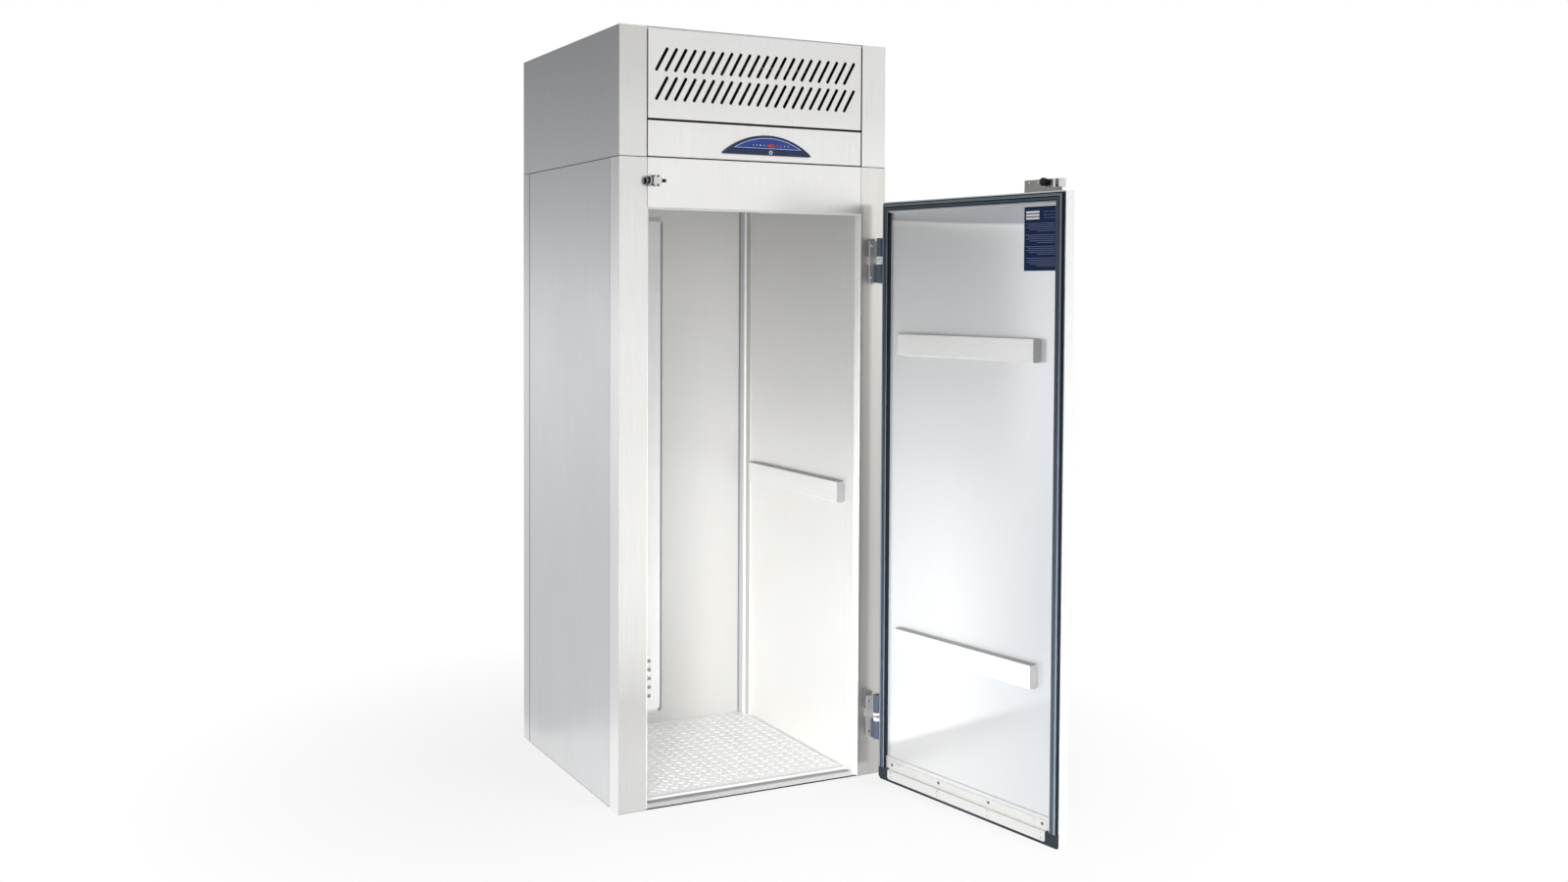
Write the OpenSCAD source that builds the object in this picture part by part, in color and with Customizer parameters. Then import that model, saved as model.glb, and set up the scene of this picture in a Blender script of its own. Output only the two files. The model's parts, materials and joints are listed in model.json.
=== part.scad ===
// Single-door trolley refrigerator with its machine housing on top, door standing open.
// Origin: centre of the footprint on the floor. The front faces -Y, +Z is up, millimetres.
// Every door piece is drawn with the door shut, then swung and lifted to its open place.

/* [Cabinet] */
// Width of the body
body_w = 875; // [800:5:1000]
// Depth of the body without the door
body_d = 855; // [800:5:1000]
// Height of the insulated cabinet up to the housing joint
cabinet_h = 1875; // [1800:5:2000]
// Height of the machine housing on top
housing_h = 370; // [360:5:430]
// Width of a front post, which is also the thickness of a side wall
post_w = 85; // [75:1:100]
// Depth of the front frame, posts and header
frame_depth = 85; // [75:1:110]
// Side leg of a front post, back to the side seam
post_leg = 70; // [50:1:100]
// Side leg of the rear panel, forward to the side seam
rear_leg = 63; // [40:1:90]
// Thickness of the rear wall
rear_wall = 65; // [55:1:90]
// Height of the header over the opening
header_h = 143; // [125:1:180]
// Thickness of the roof over the load space
roof_t = 85; // [60:1:100]
// Thickness of the outer sheets
sheet = 1.2; // [0.8:0.1:2]
// Thickness of the lining sheets
lining = 1; // [0.8:0.1:1.5]
// Thickness of the floor plate
floor_t = 8; // [5:1:14]
// Depth of the doorway sill in front of the floor plate
sill_d = 90; // [86:1:130]
// Depth of the rounded trim round the doorway
trim_d = 30; // [20:1:45]
// How far that trim stands into the doorway
trim_t = 4; // [2:0.5:6]

/* [Inside the load space] */
// Height of a bumper rail
rail_h = 66; // [40:1:90]
// How far a bumper rail stands off its wall
rail_d = 25; // [15:1:35]
// Height of the wall rails' centre line
wall_rail_z = 870; // [600:5:1100]
// Width of the air duct on the rear wall
duct_w = 300; // [200:5:400]
// Distance of the duct's right edge from the middle of the cabinet
duct_edge = 34; // [0:1:60]
// How far the duct stands off the rear wall
duct_d = 22; // [16:1:28]
// Bevel round the duct
duct_bevel = 16; // [6:1:20]
// Side of the fan mouth in the ceiling
mouth = 250; // [220:5:270]

/* [Door] */
// Opening angle in which the door stands
open_angle = 98.5; // [80:0.5:110]
// Thickness of the door without its seal
door_t = 32; // [28:1:45]
// Thickness of the door seal
seal_t = 10; // [8:1:14]
// Width of the door seal
seal_w = 28; // [24:1:34]
// Overlap of the seal on the posts
seal_lap = 17; // [10:1:20]
// Overlap of the seal on the header
top_lap = 22; // [12:1:26]
// Gap between the shut seal and the cabinet front
seal_gap = 0.3; // [0.2:0.1:1]
// How far the door edge reaches past its seal
door_edge = 4; // [2:1:6]
// Step of the door lining behind its rim
liner_step = 4; // [2:0.5:6]
// Height of the shut door above the floor
door_clear = 10; // [8:1:16]
// Height of the lower door rail's centre line, door shut
low_rail_z = 447; // [300:1:600]
// Height of the upper door rail's centre line, door shut
high_rail_z = 1331; // [1100:1:1450]
// Distance from the ends of the door rails to the seal's outer edge
rail_inset = 85; // [70:1:140]
// Height of the floor wiper
wiper_h = 38; // [34:1:50]
// Gap between the shut wiper and the floor
wiper_gap = 1; // [0.5:0.5:4]

/* [Hinges] */
// Distance of the hinge axis from the right side
hinge_in = 31; // [28:1:34]
// Distance of the hinge axis in front of the cabinet
hinge_out = 28; // [26:1:34]
// Diameter of a knuckle
knuckle_d = 26; // [22:1:28]
// Height of a knuckle
knuckle_h = 56; // [40:1:70]
// Diameter of a hinge pin
pin_d = 10; // [8:1:12]
// Running clearance round a pin, on the radius
pin_fit = 0.08; // [0.05:0.01:0.1]
// Height of a lifting cam
cam_h = 8; // [7:0.5:10]
// Rise and fall of a cam's slanted face from its middle
cam_slope = 3; // [1:0.5:3.5]
// Lift of the door for one full turn of the hinge
hinge_lead = 29; // [26:1:36]
// Height of the upper hinge's cam joint
high_hinge_z = 1587; // [1400:1:1640]
// Height of the lower hinge's cam joint
low_hinge_z = 182; // [120:1:300]

/* [Machine housing] */
// Height of the control fascia below the louvred panel
fascia_h = 108; // [100:1:130]
// Dark gap round the louvred panel and the fascia
panel_gap = 3; // [1:0.5:5]
// Number of louvre slots in a row
slot_count = 22; // [8:1:24]
// Distance between louvre slots
slot_pitch = 29.3; // [20:0.1:30]
// Width of a louvre slot
slot_w = 8.5; // [4:0.5:10]
// Length of a louvre slot between its end centres
slot_len = 68; // [40:1:70]
// Lean of a louvre slot from upright
slot_lean = 28.5; // [0:0.5:35]
// Distance between the two rows of slots
slot_rows = 82.5; // [76:0.5:90]
// Width of the half-moon control panel
moon_w = 300; // [280:1:340]
// Height of the half-moon control panel
moon_h = 58; // [52:1:64]
// How far the control panel stands off the fascia
moon_t = 9; // [8:0.5:14]
// Distance of the control panel from the middle of the front
moon_x = 28; // [-60:1:60]
// Distance between the push buttons, and between the lamps
key_pitch = 11.5; // [9:0.5:12]
// Diameter of a push button
key_d = 6.5; // [4:0.5:7]

/* [Door catch and handle] */
// Length of the catch bracket on the door top
bracket_w = 138; // [125:1:170]
// Height of the catch bracket
bracket_h = 34; // [32:1:45]
// Distance of the catch bracket from the door's free edge
bracket_inset = 28; // [20:1:40]
// Diameter of the catch roller
roller_d = 30; // [24:1:32]
// Length of the catch roller
roller_w = 12; // [8:1:14]
// Height of the catch roller's axis above the top of the shut door
roller_up = 50; // [46:1:57]
// Length of the pull handle
handle_h = 340; // [200:5:500]
// Height of the pull handle's middle, door shut
handle_z = 1040; // [800:5:1200]
// How far the pull handle stands off the door
handle_out = 40; // [32:1:50]

/* [Hidden] */

$fn = 48;
tiny = 0.01;
over = 1; // overshoot of a cutting shape
clear = 0.3; // gap between neighbours that are not fixed face to face
seam = 1; // open seam between neighbouring outer sheets
small = 24; // facets of a small round piece

left = -body_w / 2;
right = body_w / 2;
front = -body_d / 2;
rear = body_d / 2;
top = cabinet_h + housing_h;
opening_l = left + post_w;
opening_r = right - post_w;
opening_w = opening_r - opening_l;
opening_z = cabinet_h - header_h;
frame_y = front + frame_depth;
load_y = rear - rear_wall;
ceiling_z = cabinet_h - roof_t;

// Door places, door shut
seal_l = opening_l - seal_lap;
seal_r = opening_r + seal_lap;
seal_y = front - seal_gap;
rim_y = seal_y - seal_t;
door_y = rim_y - door_t;
door_l = seal_l - door_edge;
door_r = seal_r + door_edge;
seal_top = opening_z + top_lap;
door_top = seal_top + door_edge;
roller_z = door_top + roller_up;
wiper_top = wiper_gap + wiper_h;

// Hinge places
pivot = [right - hinge_in, front - hinge_out];
rise = hinge_lead * open_angle / 360;
hinge_zs = [low_hinge_z, high_hinge_z];
leaf_t = 3;

// Housing places
housing_in = 0.6; // step of the housing behind the cabinet's faces and above its top
deck_z = cabinet_h + housing_in;
split_z = cabinet_h + fascia_h;

// A block from its low corner to its high corner
module block(lo, hi) {
    translate(lo) cube(hi - lo);
}

// An outline in X and Z, given depth from y0 towards the back
module upright(y0, depth) {
    translate([0, y0 + depth, 0]) rotate([90, 0, 0]) linear_extrude(depth) children();
}

// A square outline from its low corner to its high corner
module area(lo, hi) {
    translate(lo) square(hi - lo);
}

// The same piece on the left and the right
module both_sides() {
    children();
    mirror([1, 0, 0]) children();
}

// A shut door piece, swung open about the hinge axis and lifted by the cams
module swung() {
    translate([pivot.x, pivot.y, rise]) rotate([0, 0, open_angle]) translate([-pivot.x, -pivot.y, 0]) children();
}

// A pan-head screw along +Y: the head in front of y = 0, the shank behind it
module screw(head_d, head_h, shank_d, shank) {
    rotate([-90, 0, 0]) {
        translate([0, 0, -head_h]) cylinder(d = head_d, h = head_h, $fn = small);
        translate([0, 0, -tiny]) cylinder(d = shank_d, h = shank + tiny, $fn = small);
    }
}

// Cabinet shell

module side_panel() {
    color("gainsboro")
        block([left, front + post_leg + seam, 0], [left + sheet, rear - rear_leg - seam, cabinet_h]);
}

module left_side_panel() {
    side_panel();
}

module right_side_panel() {
    mirror([1, 0, 0]) side_panel();
}

// The rear sheet with its two side legs, one pan
module rear_panel() {
    color("silver") difference() {
        block([left, rear - rear_leg, 0], [right, rear, cabinet_h]);
        block([left + sheet, rear - rear_leg - over, -over], [right - sheet, rear - sheet, cabinet_h + over]);
    }
}

// A front post: side leg, front face and doorway return, folded from one sheet
module front_post() {
    color("whitesmoke") linear_extrude(cabinet_h) difference() {
        area([left, front], [opening_l, frame_y - seam]);
        area([left + sheet, front + sheet], [opening_l - sheet, frame_y]);
        area([left - over, front + post_leg], [left + sheet + over, frame_y]);
    }
}

module left_front_post() {
    front_post();
}

module right_front_post() {
    mirror([1, 0, 0]) front_post();
}

// The header over the doorway: front, underside and inner face
module header_panel() {
    color("whitesmoke") difference() {
        block([opening_l + seam, front, opening_z], [opening_r - seam, frame_y, cabinet_h]);
        block([opening_l, front + sheet, opening_z + sheet], [opening_r, frame_y - lining, cabinet_h + over]);
        // the inner face stops under the ceiling lining
        block([opening_l, frame_y - lining - over, ceiling_z], [opening_r, frame_y + over, cabinet_h + over]);
    }
}

fan_x = -150; // middle of the fan mouth in the ceiling
fan_y = -50;

module fan_mouth(lo, hi) {
    block([fan_x - mouth / 2, fan_y - mouth / 2, lo], [fan_x + mouth / 2, fan_y + mouth / 2, hi]);
}

// The sheet that closes the cabinet and carries the machinery
module roof_deck() {
    color("silver") difference() {
        block([left + sheet, front + sheet, cabinet_h - sheet], [right - sheet, rear - sheet, cabinet_h]);
        fan_mouth(cabinet_h - sheet - over, cabinet_h + over);
        // the posts' doorway returns come up through it
        both_sides() block([opening_l - sheet, front, cabinet_h - sheet - over], [opening_l, frame_y, cabinet_h + over]);
    }
}

// Foam between the sheets: two sides, back, roof and header, foamed in one piece
module cabinet_insulation() {
    foam_top = cabinet_h - sheet;
    color("khaki") difference() {
        union() {
            both_sides() {
                block([left + sheet, front + sheet, 0], [opening_l - sheet, frame_y, foam_top]);
                block([left + sheet, frame_y - tiny, 0], [opening_l - lining, rear - sheet, foam_top]);
            }
            block([left + sheet, load_y + lining, 0], [right - sheet, rear - sheet, foam_top]);
            block([left + sheet, front + sheet, ceiling_z + lining], [right - sheet, rear - sheet, foam_top]);
            block([opening_l - sheet - tiny, front + sheet, opening_z + sheet],
                [opening_r + sheet + tiny, frame_y - lining, foam_top]);
        }
        both_sides() block([opening_l - sheet, front, -over], [opening_l + seam, frame_y, cabinet_h]);
        fan_mouth(ceiling_z - over, cabinet_h);
    }
}

// Lining of the load space

module side_liners() {
    color("gainsboro") both_sides() block([opening_l - lining, frame_y, 0], [opening_l, load_y, ceiling_z]);
}

module rear_liner() {
    color("gainsboro")
        block([opening_l - lining, load_y, 0], [opening_r + lining, load_y + lining, ceiling_z]);
}

guard_bars = 9; // bars of the guard under the ceiling fan
guard_bar = 3;
guard_edge = 12; // whole sheet left at the ends of the bars

// The ceiling sheet with the fan guard punched out of it
module ceiling_liner() {
    step = mouth / (guard_bars + 1);
    color("gainsboro") difference() {
        block([opening_l - lining, frame_y - lining, ceiling_z],
            [opening_r + lining, load_y + lining, ceiling_z + lining]);
        for (i = [0:guard_bars])
            block([fan_x - mouth / 2 + guard_edge, fan_y - mouth / 2 + i * step + guard_bar / 2, ceiling_z - over],
                [fan_x + mouth / 2 - guard_edge, fan_y - mouth / 2 + (i + 1) * step - guard_bar / 2,
                    ceiling_z + lining + over]);
    }
}

// Rounded moulding on the doorway's two jambs and under the header
module opening_trim() {
    nose = trim_t / 2;
    color("white") {
        both_sides() translate([opening_l, front + nose, sill_h]) linear_extrude(opening_z - sill_h) {
            area([0, 0], [trim_t, trim_d - nose]);
            translate([nose, 0]) circle(nose);
        }
        block([opening_l + trim_t - tiny, front + nose, opening_z - trim_t],
            [opening_r - trim_t + tiny, front + trim_d, opening_z]);
        translate([opening_l + trim_t - tiny, front + nose, opening_z - nose]) rotate([0, 90, 0])
            cylinder(r = nose, h = opening_w - 2 * trim_t + 2 * tiny);
    }
}

corner_side = 50; // corner trim along the side wall
corner_back = 28; // corner trim along the rear wall
corner_t = 5;
corner_bead = 9;

// Upright trims over the two rear corners of the load space, with a bead down the middle
module corner_trims() {
    color("whitesmoke") both_sides()
        translate([opening_l, load_y, floor_t]) linear_extrude(ceiling_z - floor_t) {
            polygon([[0, 0], [corner_back, 0], [corner_back - corner_t, -corner_t],
                [corner_t, corner_t - corner_side], [0, -corner_side]]);
            translate([corner_back / 2, -corner_side / 2]) circle(d = corner_bead);
        }
}

duct_bottom = 45;
duct_top_gap = 45; // below the ceiling
duct_sheet = 2;
outlets = 5;
outlet_h = 12;
outlet_pitch = 30;
outlet_z = 60; // lowest outlet above the duct's lower end
outlet_in = 50; // from the duct's sides to the ends of an outlet

// The raised air duct on the rear wall: a bevelled pan with outlet slots low down
module air_duct() {
    w = duct_w;
    h = ceiling_z - duct_top_gap - duct_bottom;
    core = duct_bevel + duct_sheet;
    color("whitesmoke") translate([duct_edge - w, load_y, duct_bottom]) difference() {
        intersection() {
            linear_extrude(h) polygon([[0, 0], [duct_bevel, -duct_d], [w - duct_bevel, -duct_d], [w, 0]]);
            rotate([90, 0, 90]) linear_extrude(w)
                polygon([[0, 0], [-duct_d, duct_bevel], [-duct_d, h - duct_bevel], [0, h]]);
        }
        block([core, -duct_d + duct_sheet, core], [w - core, -duct_sheet, h - core]);
        for (i = [0:outlets - 1])
            block([outlet_in, -duct_d - over, outlet_z + i * outlet_pitch],
                [w - outlet_in, -duct_d + duct_sheet + over, outlet_z + outlet_h + i * outlet_pitch]);
    }
}

rail_start = 3; // behind the front frame
rail_stop = 25; // before the rear wall

// A bumper rail standing off a wall at x = 0 towards +X, running along +Y
module rail(length) {
    t = 1.5;
    bend = 3;
    difference() {
        linear_extrude(rail_h, center = true)
            polygon([[0, 0], [rail_d, bend], [rail_d, length - bend], [0, length]]);
        linear_extrude(rail_h - 2 * t, center = true)
            polygon([[t, 2 * t], [rail_d - t, bend + t], [rail_d - t, length - bend - t], [t, length - 2 * t]]);
    }
}

module wall_bumper_rails() {
    color("white") both_sides()
        translate([opening_l, frame_y + rail_start, wall_rail_z])
            rail(load_y - frame_y - rail_start - rail_stop - corner_side);
}

sill_h = 4;
sill_in = 2; // from the cabinet front to the sill's front edge
lip = 14; // width of the raised lip at the back of the sill
gutter_front = 40; // from the cabinet front to the gutter
gutter_low = 2; // height of the gutter's bottom
gutter_slope = 5;

// The floor plate of the load space
module floor_plate() {
    color("whitesmoke") block([opening_l + clear, front + sill_d, 0], [opening_r - clear, load_y, floor_t]);
}

// The doorway sill: a thin plate with a shallow gutter and a lip in front of the floor plate
module sill() {
    back = front + sill_d - clear;
    color("silver") upright_x(opening_l + clear, opening_w - 2 * clear)
        polygon([[front + sill_in, 0], [back, 0], [back, floor_t], [back - lip, floor_t],
            [back - lip - gutter_slope, gutter_low], [front + gutter_front + gutter_slope, gutter_low],
            [front + gutter_front, sill_h], [front + sill_in, sill_h]]);
}

// An outline in Y and Z, given length from x0 towards the right
module upright_x(x0, length) {
    translate([x0, 0, 0]) rotate([90, 0, 90]) linear_extrude(length) children();
}

// Door catch on the header

catch_w = 28;
catch_h = 32;
catch_t = 12;
catch_plate_t = 1.5;
catch_x = left + 106; // middle of the catch body
nose_h = 18; // height of the block that stands forward round the axle
nose_out = 7; // how far it stands in front of the axle
roller_out = 18; // roller axis in front of the header
axle_d = 6;
axle_cap = 3; // length of the axle's cap
axle_stub = 14; // black end of the axle on the other side
axle_stub_d = 10;
roller_gap = 0.5;
plate_out = 8; // how far the base plate reaches past the roller
roller_x = catch_x - catch_w / 2 - roller_gap - roller_w;
catch_screws = [for (x = [-7, 7], z = [-12.5, 12.5]) [catch_x + x, roller_z + z]];
catch_screw_d = 4;

// A round bar along +X
module bar_x(start, d, length) {
    translate(start) rotate([0, 90, 0]) cylinder(d = d, h = length);
}

// The catch body on its base plate, with the axle that carries the roller
module catch_body() {
    x0 = catch_x - catch_w / 2;
    color("gainsboro") difference() {
        union() {
            block([roller_x - plate_out, front - catch_plate_t, roller_z - catch_h / 2],
                [x0 + tiny, front, roller_z + catch_h / 2]);
            block([x0, front - catch_t, roller_z - catch_h / 2], [x0 + catch_w, front, roller_z + catch_h / 2]);
            block([x0, front - roller_out - nose_out, roller_z - nose_h / 2],
                [x0 + catch_w, front - catch_t + tiny, roller_z + nose_h / 2]);
            bar_x([roller_x - roller_gap - tiny, front - roller_out, roller_z], axle_d,
                roller_w + 2 * roller_gap + 2 * tiny);
            bar_x([roller_x - roller_gap - axle_cap, front - roller_out, roller_z], axle_d + 4, axle_cap);
        }
        for (at = catch_screws) translate([at.x, front + over, at.y]) rotate([90, 0, 0])
            cylinder(d = catch_screw_d + clear, h = catch_t + 2 * over, $fn = small);
    }
    color("black") bar_x([x0 + catch_w - tiny, front - roller_out, roller_z], axle_stub_d, axle_stub);
}

module catch_roller() {
    color("black") difference() {
        bar_x([roller_x, front - roller_out, roller_z], roller_d, roller_w);
        bar_x([roller_x - over, front - roller_out, roller_z], axle_d + 2 * pin_fit, roller_w + 2 * over);
    }
}

// Hinges

leaf_w = 40;
leaf_x = -24; // left edge of a frame leaf from the pivot
leaf_h = 2 * (knuckle_h + cam_h);
web_w = 18; // width of the web between the frame leaf and its knuckle
leaf_screw_x = leaf_x + 7;
leaf_screw_zs = [-48, 48]; // in the frame leaf
edge_screw_zs = [-50, -14]; // in the door leaf, below its strap
leaf_screw_d = 5;
cam_gap = 0.15; // half the gap between two cam faces
far = 100; // reach of a cutting shape that must pass right through

// The bore for a hinge pin, right through
module pin_bore() {
    translate([0, 0, -far]) cylinder(d = pin_d + 2 * pin_fit, h = 2 * far);
}

// A cam ring below or above its slanted face; the slope falls to the right
module cam(upper) {
    r = knuckle_d / 2 - 0.5;
    lean = atan(cam_slope / r);
    difference() {
        translate([0, 0, upper ? -cam_h / 2 : -cam_h]) cylinder(r = r, h = 1.5 * cam_h);
        pin_bore();
        rotate([0, lean, 0]) translate([0, 0, upper ? cam_gap - far / 2 : far / 2 - cam_gap]) cube(far, center = true);
    }
}

// The two leaves on the right post, each with its lower knuckle and cam
module hinge_frame_leaves() {
    color("slategray") for (z = hinge_zs) translate([pivot.x, pivot.y, z]) {
        difference() {
            union() {
                translate([0, 0, -cam_h - knuckle_h]) cylinder(d = knuckle_d, h = knuckle_h);
                block([-web_w / 2, 0, -cam_h - knuckle_h], [web_w / 2, hinge_out, -cam_h]);
                block([leaf_x, hinge_out - leaf_t, -leaf_h / 2], [leaf_x + leaf_w, hinge_out, leaf_h / 2]);
            }
            pin_bore();
            for (s = leaf_screw_zs) translate([leaf_screw_x, hinge_out + over, s]) rotate([90, 0, 0])
                cylinder(d = leaf_screw_d + clear, h = leaf_t + 2 * over, $fn = small);
        }
        cam(false);
    }
}

screw_head_d = 9;
screw_head_h = 2.4;
catch_head_d = 6;
catch_head_h = 1.6;

// Screws in the frame leaves and in the catch body
module frame_screws() {
    color("silver") {
        for (z = hinge_zs, s = leaf_screw_zs)
            translate([pivot.x + leaf_screw_x, front - leaf_t, z + s])
                screw(screw_head_d, screw_head_h, leaf_screw_d, leaf_t);
        for (at = catch_screws)
            translate([at.x, front - catch_t, at.y]) screw(catch_head_d, catch_head_h, catch_screw_d, catch_t);
    }
}

pin_head = 4;
pin_head_d = pin_d + 6;

// The two hinge pins, which turn with the door while the door climbs on them
module hinge_pins() {
    color("silver") for (z = hinge_zs) translate([pivot.x, pivot.y, z]) {
        translate([0, 0, -cam_h - knuckle_h - pin_head - clear]) cylinder(d = pin_head_d, h = pin_head);
        translate([0, 0, -cam_h - knuckle_h - pin_head]) cylinder(d = pin_d, h = 2 * (knuckle_h + cam_h));
    }
}

strap_t = 8;
edge_leaf_in = 3; // from the door's edges to the leaf's long sides

// The two leaves on the door's hinge edge, each with its upper knuckle and cam
module hinge_door_leaves() {
    reach = pivot.x - door_r;
    color("slategray") swung() for (z = hinge_zs) translate([pivot.x, pivot.y, z]) {
        difference() {
            union() {
                translate([0, 0, cam_h]) cylinder(d = knuckle_d, h = knuckle_h);
                block([-reach, -strap_t / 2, cam_h], [0, strap_t / 2, cam_h + knuckle_h]);
                block([-reach, door_y - pivot.y + edge_leaf_in, -leaf_h / 2],
                    [-reach + leaf_t, rim_y - pivot.y - edge_leaf_in, leaf_h / 2]);
            }
            pin_bore();
            for (s = edge_screw_zs) translate([-reach - over, (door_y + rim_y) / 2 - pivot.y, s]) rotate([0, 90, 0])
                cylinder(d = leaf_screw_d + clear, h = leaf_t + 2 * over, $fn = small);
        }
        cam(true);
    }
}

// Door

rim = seal_w + door_edge; // width of the door's flat rim under the seal
rim_low = 66; // height of the rim at the bottom, under the clamp

// The outer pan: face and four edges
module door_outer_skin() {
    color("whitesmoke") swung() difference() {
        block([door_l, door_y, door_clear], [door_r, rim_y, door_top]);
        block([door_l + sheet, door_y + sheet, door_clear + sheet], [door_r - sheet, rim_y + over, door_top - sheet]);
    }
}

module door_insulation() {
    color("khaki") swung()
        block([door_l + sheet, door_y + sheet, door_clear + sheet],
            [door_r - sheet, rim_y - liner_step - lining, door_top - sheet]);
}

// The inner lining: a rim for the seal round a stepped field
module door_liner() {
    color("lightgray") swung() difference() {
        block([door_l + sheet, rim_y - liner_step - lining, door_clear + sheet],
            [door_r - sheet, rim_y, door_top - sheet]);
        block([door_l + rim, rim_y - liner_step, door_clear + rim_low], [door_r - rim, rim_y + over, door_top - rim]);
    }
}

// The seal: two sides and the top, a wide foot with a narrower lip on it
module door_seal() {
    foot = seal_t * 0.55;
    lip_step = 4; // step of the lip behind the foot's edges
    color("slategray") swung() {
        seal_bars(0, rim_y, foot);
        seal_bars(lip_step, rim_y + foot - tiny, seal_t - foot + tiny);
    }
}

// One layer of the seal, drawn in by inset on both edges
module seal_bars(inset, y0, depth) {
    upright(y0, depth) difference() {
        area([seal_l + inset, wiper_top], [seal_r - inset, seal_top - inset]);
        area([seal_l + seal_w - inset, wiper_top - over], [seal_r - seal_w + inset, seal_top - seal_w + inset]);
    }
}

wiper_t = 6;
wiper_out = 2; // how far the wiper reaches past the seal
clamp_t = 1.5;
clamp_z = 9; // lower edge of the clamp, door shut
clamp_face = 28; // height of the clamp's raised face
clamp_flange = 27; // height of the flange screwed to the rim
clamp_inset = 42; // from the seal's outer edge to the clamp's end
clamp_screws = 4;
clamp_screw_in = 15; // from the clamp's end to its first screw
clamp_l = seal_l + clamp_inset;
clamp_r = seal_r - clamp_inset;
clamp_top = clamp_z + clamp_face + clamp_flange;
clamp_screw_z = clamp_top - 10;
clamp_step = (clamp_r - clamp_l - 2 * clamp_screw_in) / (clamp_screws - 1);
clamp_slit = 2; // width of the two slits in the flange
clamp_slit_h = 11;
clamp_slit_in = 45; // from the clamp's end to a slit
rivet_zs = [clamp_z + 8, clamp_z + 21];
rivet_d = 4;

// The rubber strip that wipes the floor
module door_wiper() {
    cut = clamp_z + clamp_face - clamp_t - clear; // the clamp's fold lies over the strip
    color("black") swung() difference() {
        block([seal_l - wiper_out, rim_y, wiper_gap], [seal_r + wiper_out, rim_y + wiper_t, wiper_top]);
        block([clamp_l - over, rim_y - over, cut], [clamp_r + over, rim_y + wiper_t + over, wiper_top + over]);
        clamp_holes(rim_y - over, wiper_t + 2 * over, rivet_zs, rivet_d + clear);
    }
}

// Holes across the clamp for screws or rivets
module clamp_holes(y0, depth, zs, d) {
    for (i = [0:clamp_screws - 1], z = zs)
        translate([clamp_l + clamp_screw_in + i * clamp_step, y0, z]) rotate([-90, 0, 0])
            cylinder(d = d, h = depth, $fn = small);
}

// The folded plate that clamps the wiper: a raised face over it and a flange on the rim
module wiper_clamp() {
    face_y = rim_y + wiper_t;
    z1 = clamp_z + clamp_face;
    color("gainsboro") swung() difference() {
        union() {
            block([clamp_l, face_y, clamp_z], [clamp_r, face_y + clamp_t, z1]);
            block([clamp_l, rim_y, z1 - clamp_t], [clamp_r, face_y + clamp_t, z1]);
            block([clamp_l, rim_y, z1 - clamp_t], [clamp_r, rim_y + clamp_t, clamp_top]);
        }
        clamp_holes(face_y - over, clamp_t + 2 * over, rivet_zs, rivet_d + clear);
        clamp_holes(rim_y - over, clamp_t + 2 * over, [clamp_screw_z], leaf_screw_d + clear);
        for (x = [clamp_l + clamp_slit_in, clamp_r - clamp_slit_in])
            block([x - clamp_slit / 2, rim_y - over, clamp_top - clamp_slit_h],
                [x + clamp_slit / 2, rim_y + clamp_t + over, clamp_top + over]);
    }
}

clamp_head_h = 1.8;
rivet_head_d = 6;
rivet_head_h = 0.8;

// Screws and rivets of the door: clamp, leaves and bracket
module door_screws() {
    face_y = rim_y + wiper_t + clamp_t;
    color("silver") swung() {
        for (i = [0:clamp_screws - 1]) translate([clamp_l + clamp_screw_in + i * clamp_step, 0, 0]) {
            translate([0, rim_y + clamp_t, clamp_screw_z]) rotate([0, 0, 180])
                screw(screw_head_d, clamp_head_h, leaf_screw_d, clamp_t);
            for (z = rivet_zs) translate([0, face_y, z]) rotate([0, 0, 180])
                screw(rivet_head_d, rivet_head_h, rivet_d, wiper_t + clamp_t);
        }
        for (z = hinge_zs, s = edge_screw_zs)
            translate([door_r + leaf_t, (door_y + rim_y) / 2, z + s]) rotate([0, 0, 90])
                screw(screw_head_d, screw_head_h, leaf_screw_d, leaf_t);
        for (x = bracket_screw_xs)
            translate([x, bracket_y + bracket_t, bracket_screw_z]) rotate([0, 0, 180])
                screw(catch_head_d, catch_head_h, catch_screw_d, bracket_t);
    }
}

// Bumper rails on the inner face of the door
module door_bumper_rails() {
    length = seal_r - seal_l - 2 * rail_inset;
    color("white") swung() for (z = [low_rail_z, high_rail_z])
        translate([seal_l + rail_inset + length, rim_y - liner_step, z]) rotate([0, 0, 90]) rail(length);
}

plate_size = [121, 173];
plate_t = 0.6;
plate_in = [3.5, 7]; // from the free side and the top of the stepped field

// The blank plate in the upper corner of the door lining
module door_plate() {
    x0 = door_l + rim + plate_in.x;
    z1 = door_top - rim - plate_in.y;
    y0 = rim_y - liner_step;
    color("navy") swung() block([x0, y0, z1 - plate_size.y], [x0 + plate_size.x, y0 + plate_t, z1]);
}

// Catch on the door top

bracket_t = 2;
bracket_foot = 24;
bracket_in = 14; // from the door's rim to the bracket's upright plate
bracket_x = door_l + bracket_inset; // free end of the bracket
bracket_y = rim_y - bracket_in; // upright plate, with the cabinet on its +Y side
bracket_screw_xs = [bracket_x + bracket_w - 18, bracket_x + bracket_w - 52];
bracket_screw_z = door_top + bracket_h - 8;
latch_w = 28;
latch_h = 23;
latch_d = 20;
latch_wall = 2;
latch_x = catch_x - 15; // middle of the latch housing
latch_z = door_top + 9; // bottom of the latch housing
tongue_w = 11;
tongue_pin_d = 4;
tongue_hub_d = 9;
tongue_h = 16.5; // from the tongue's axis to its tip
tongue_axis = [bracket_y + bracket_t + 9, latch_z + 7];

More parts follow.
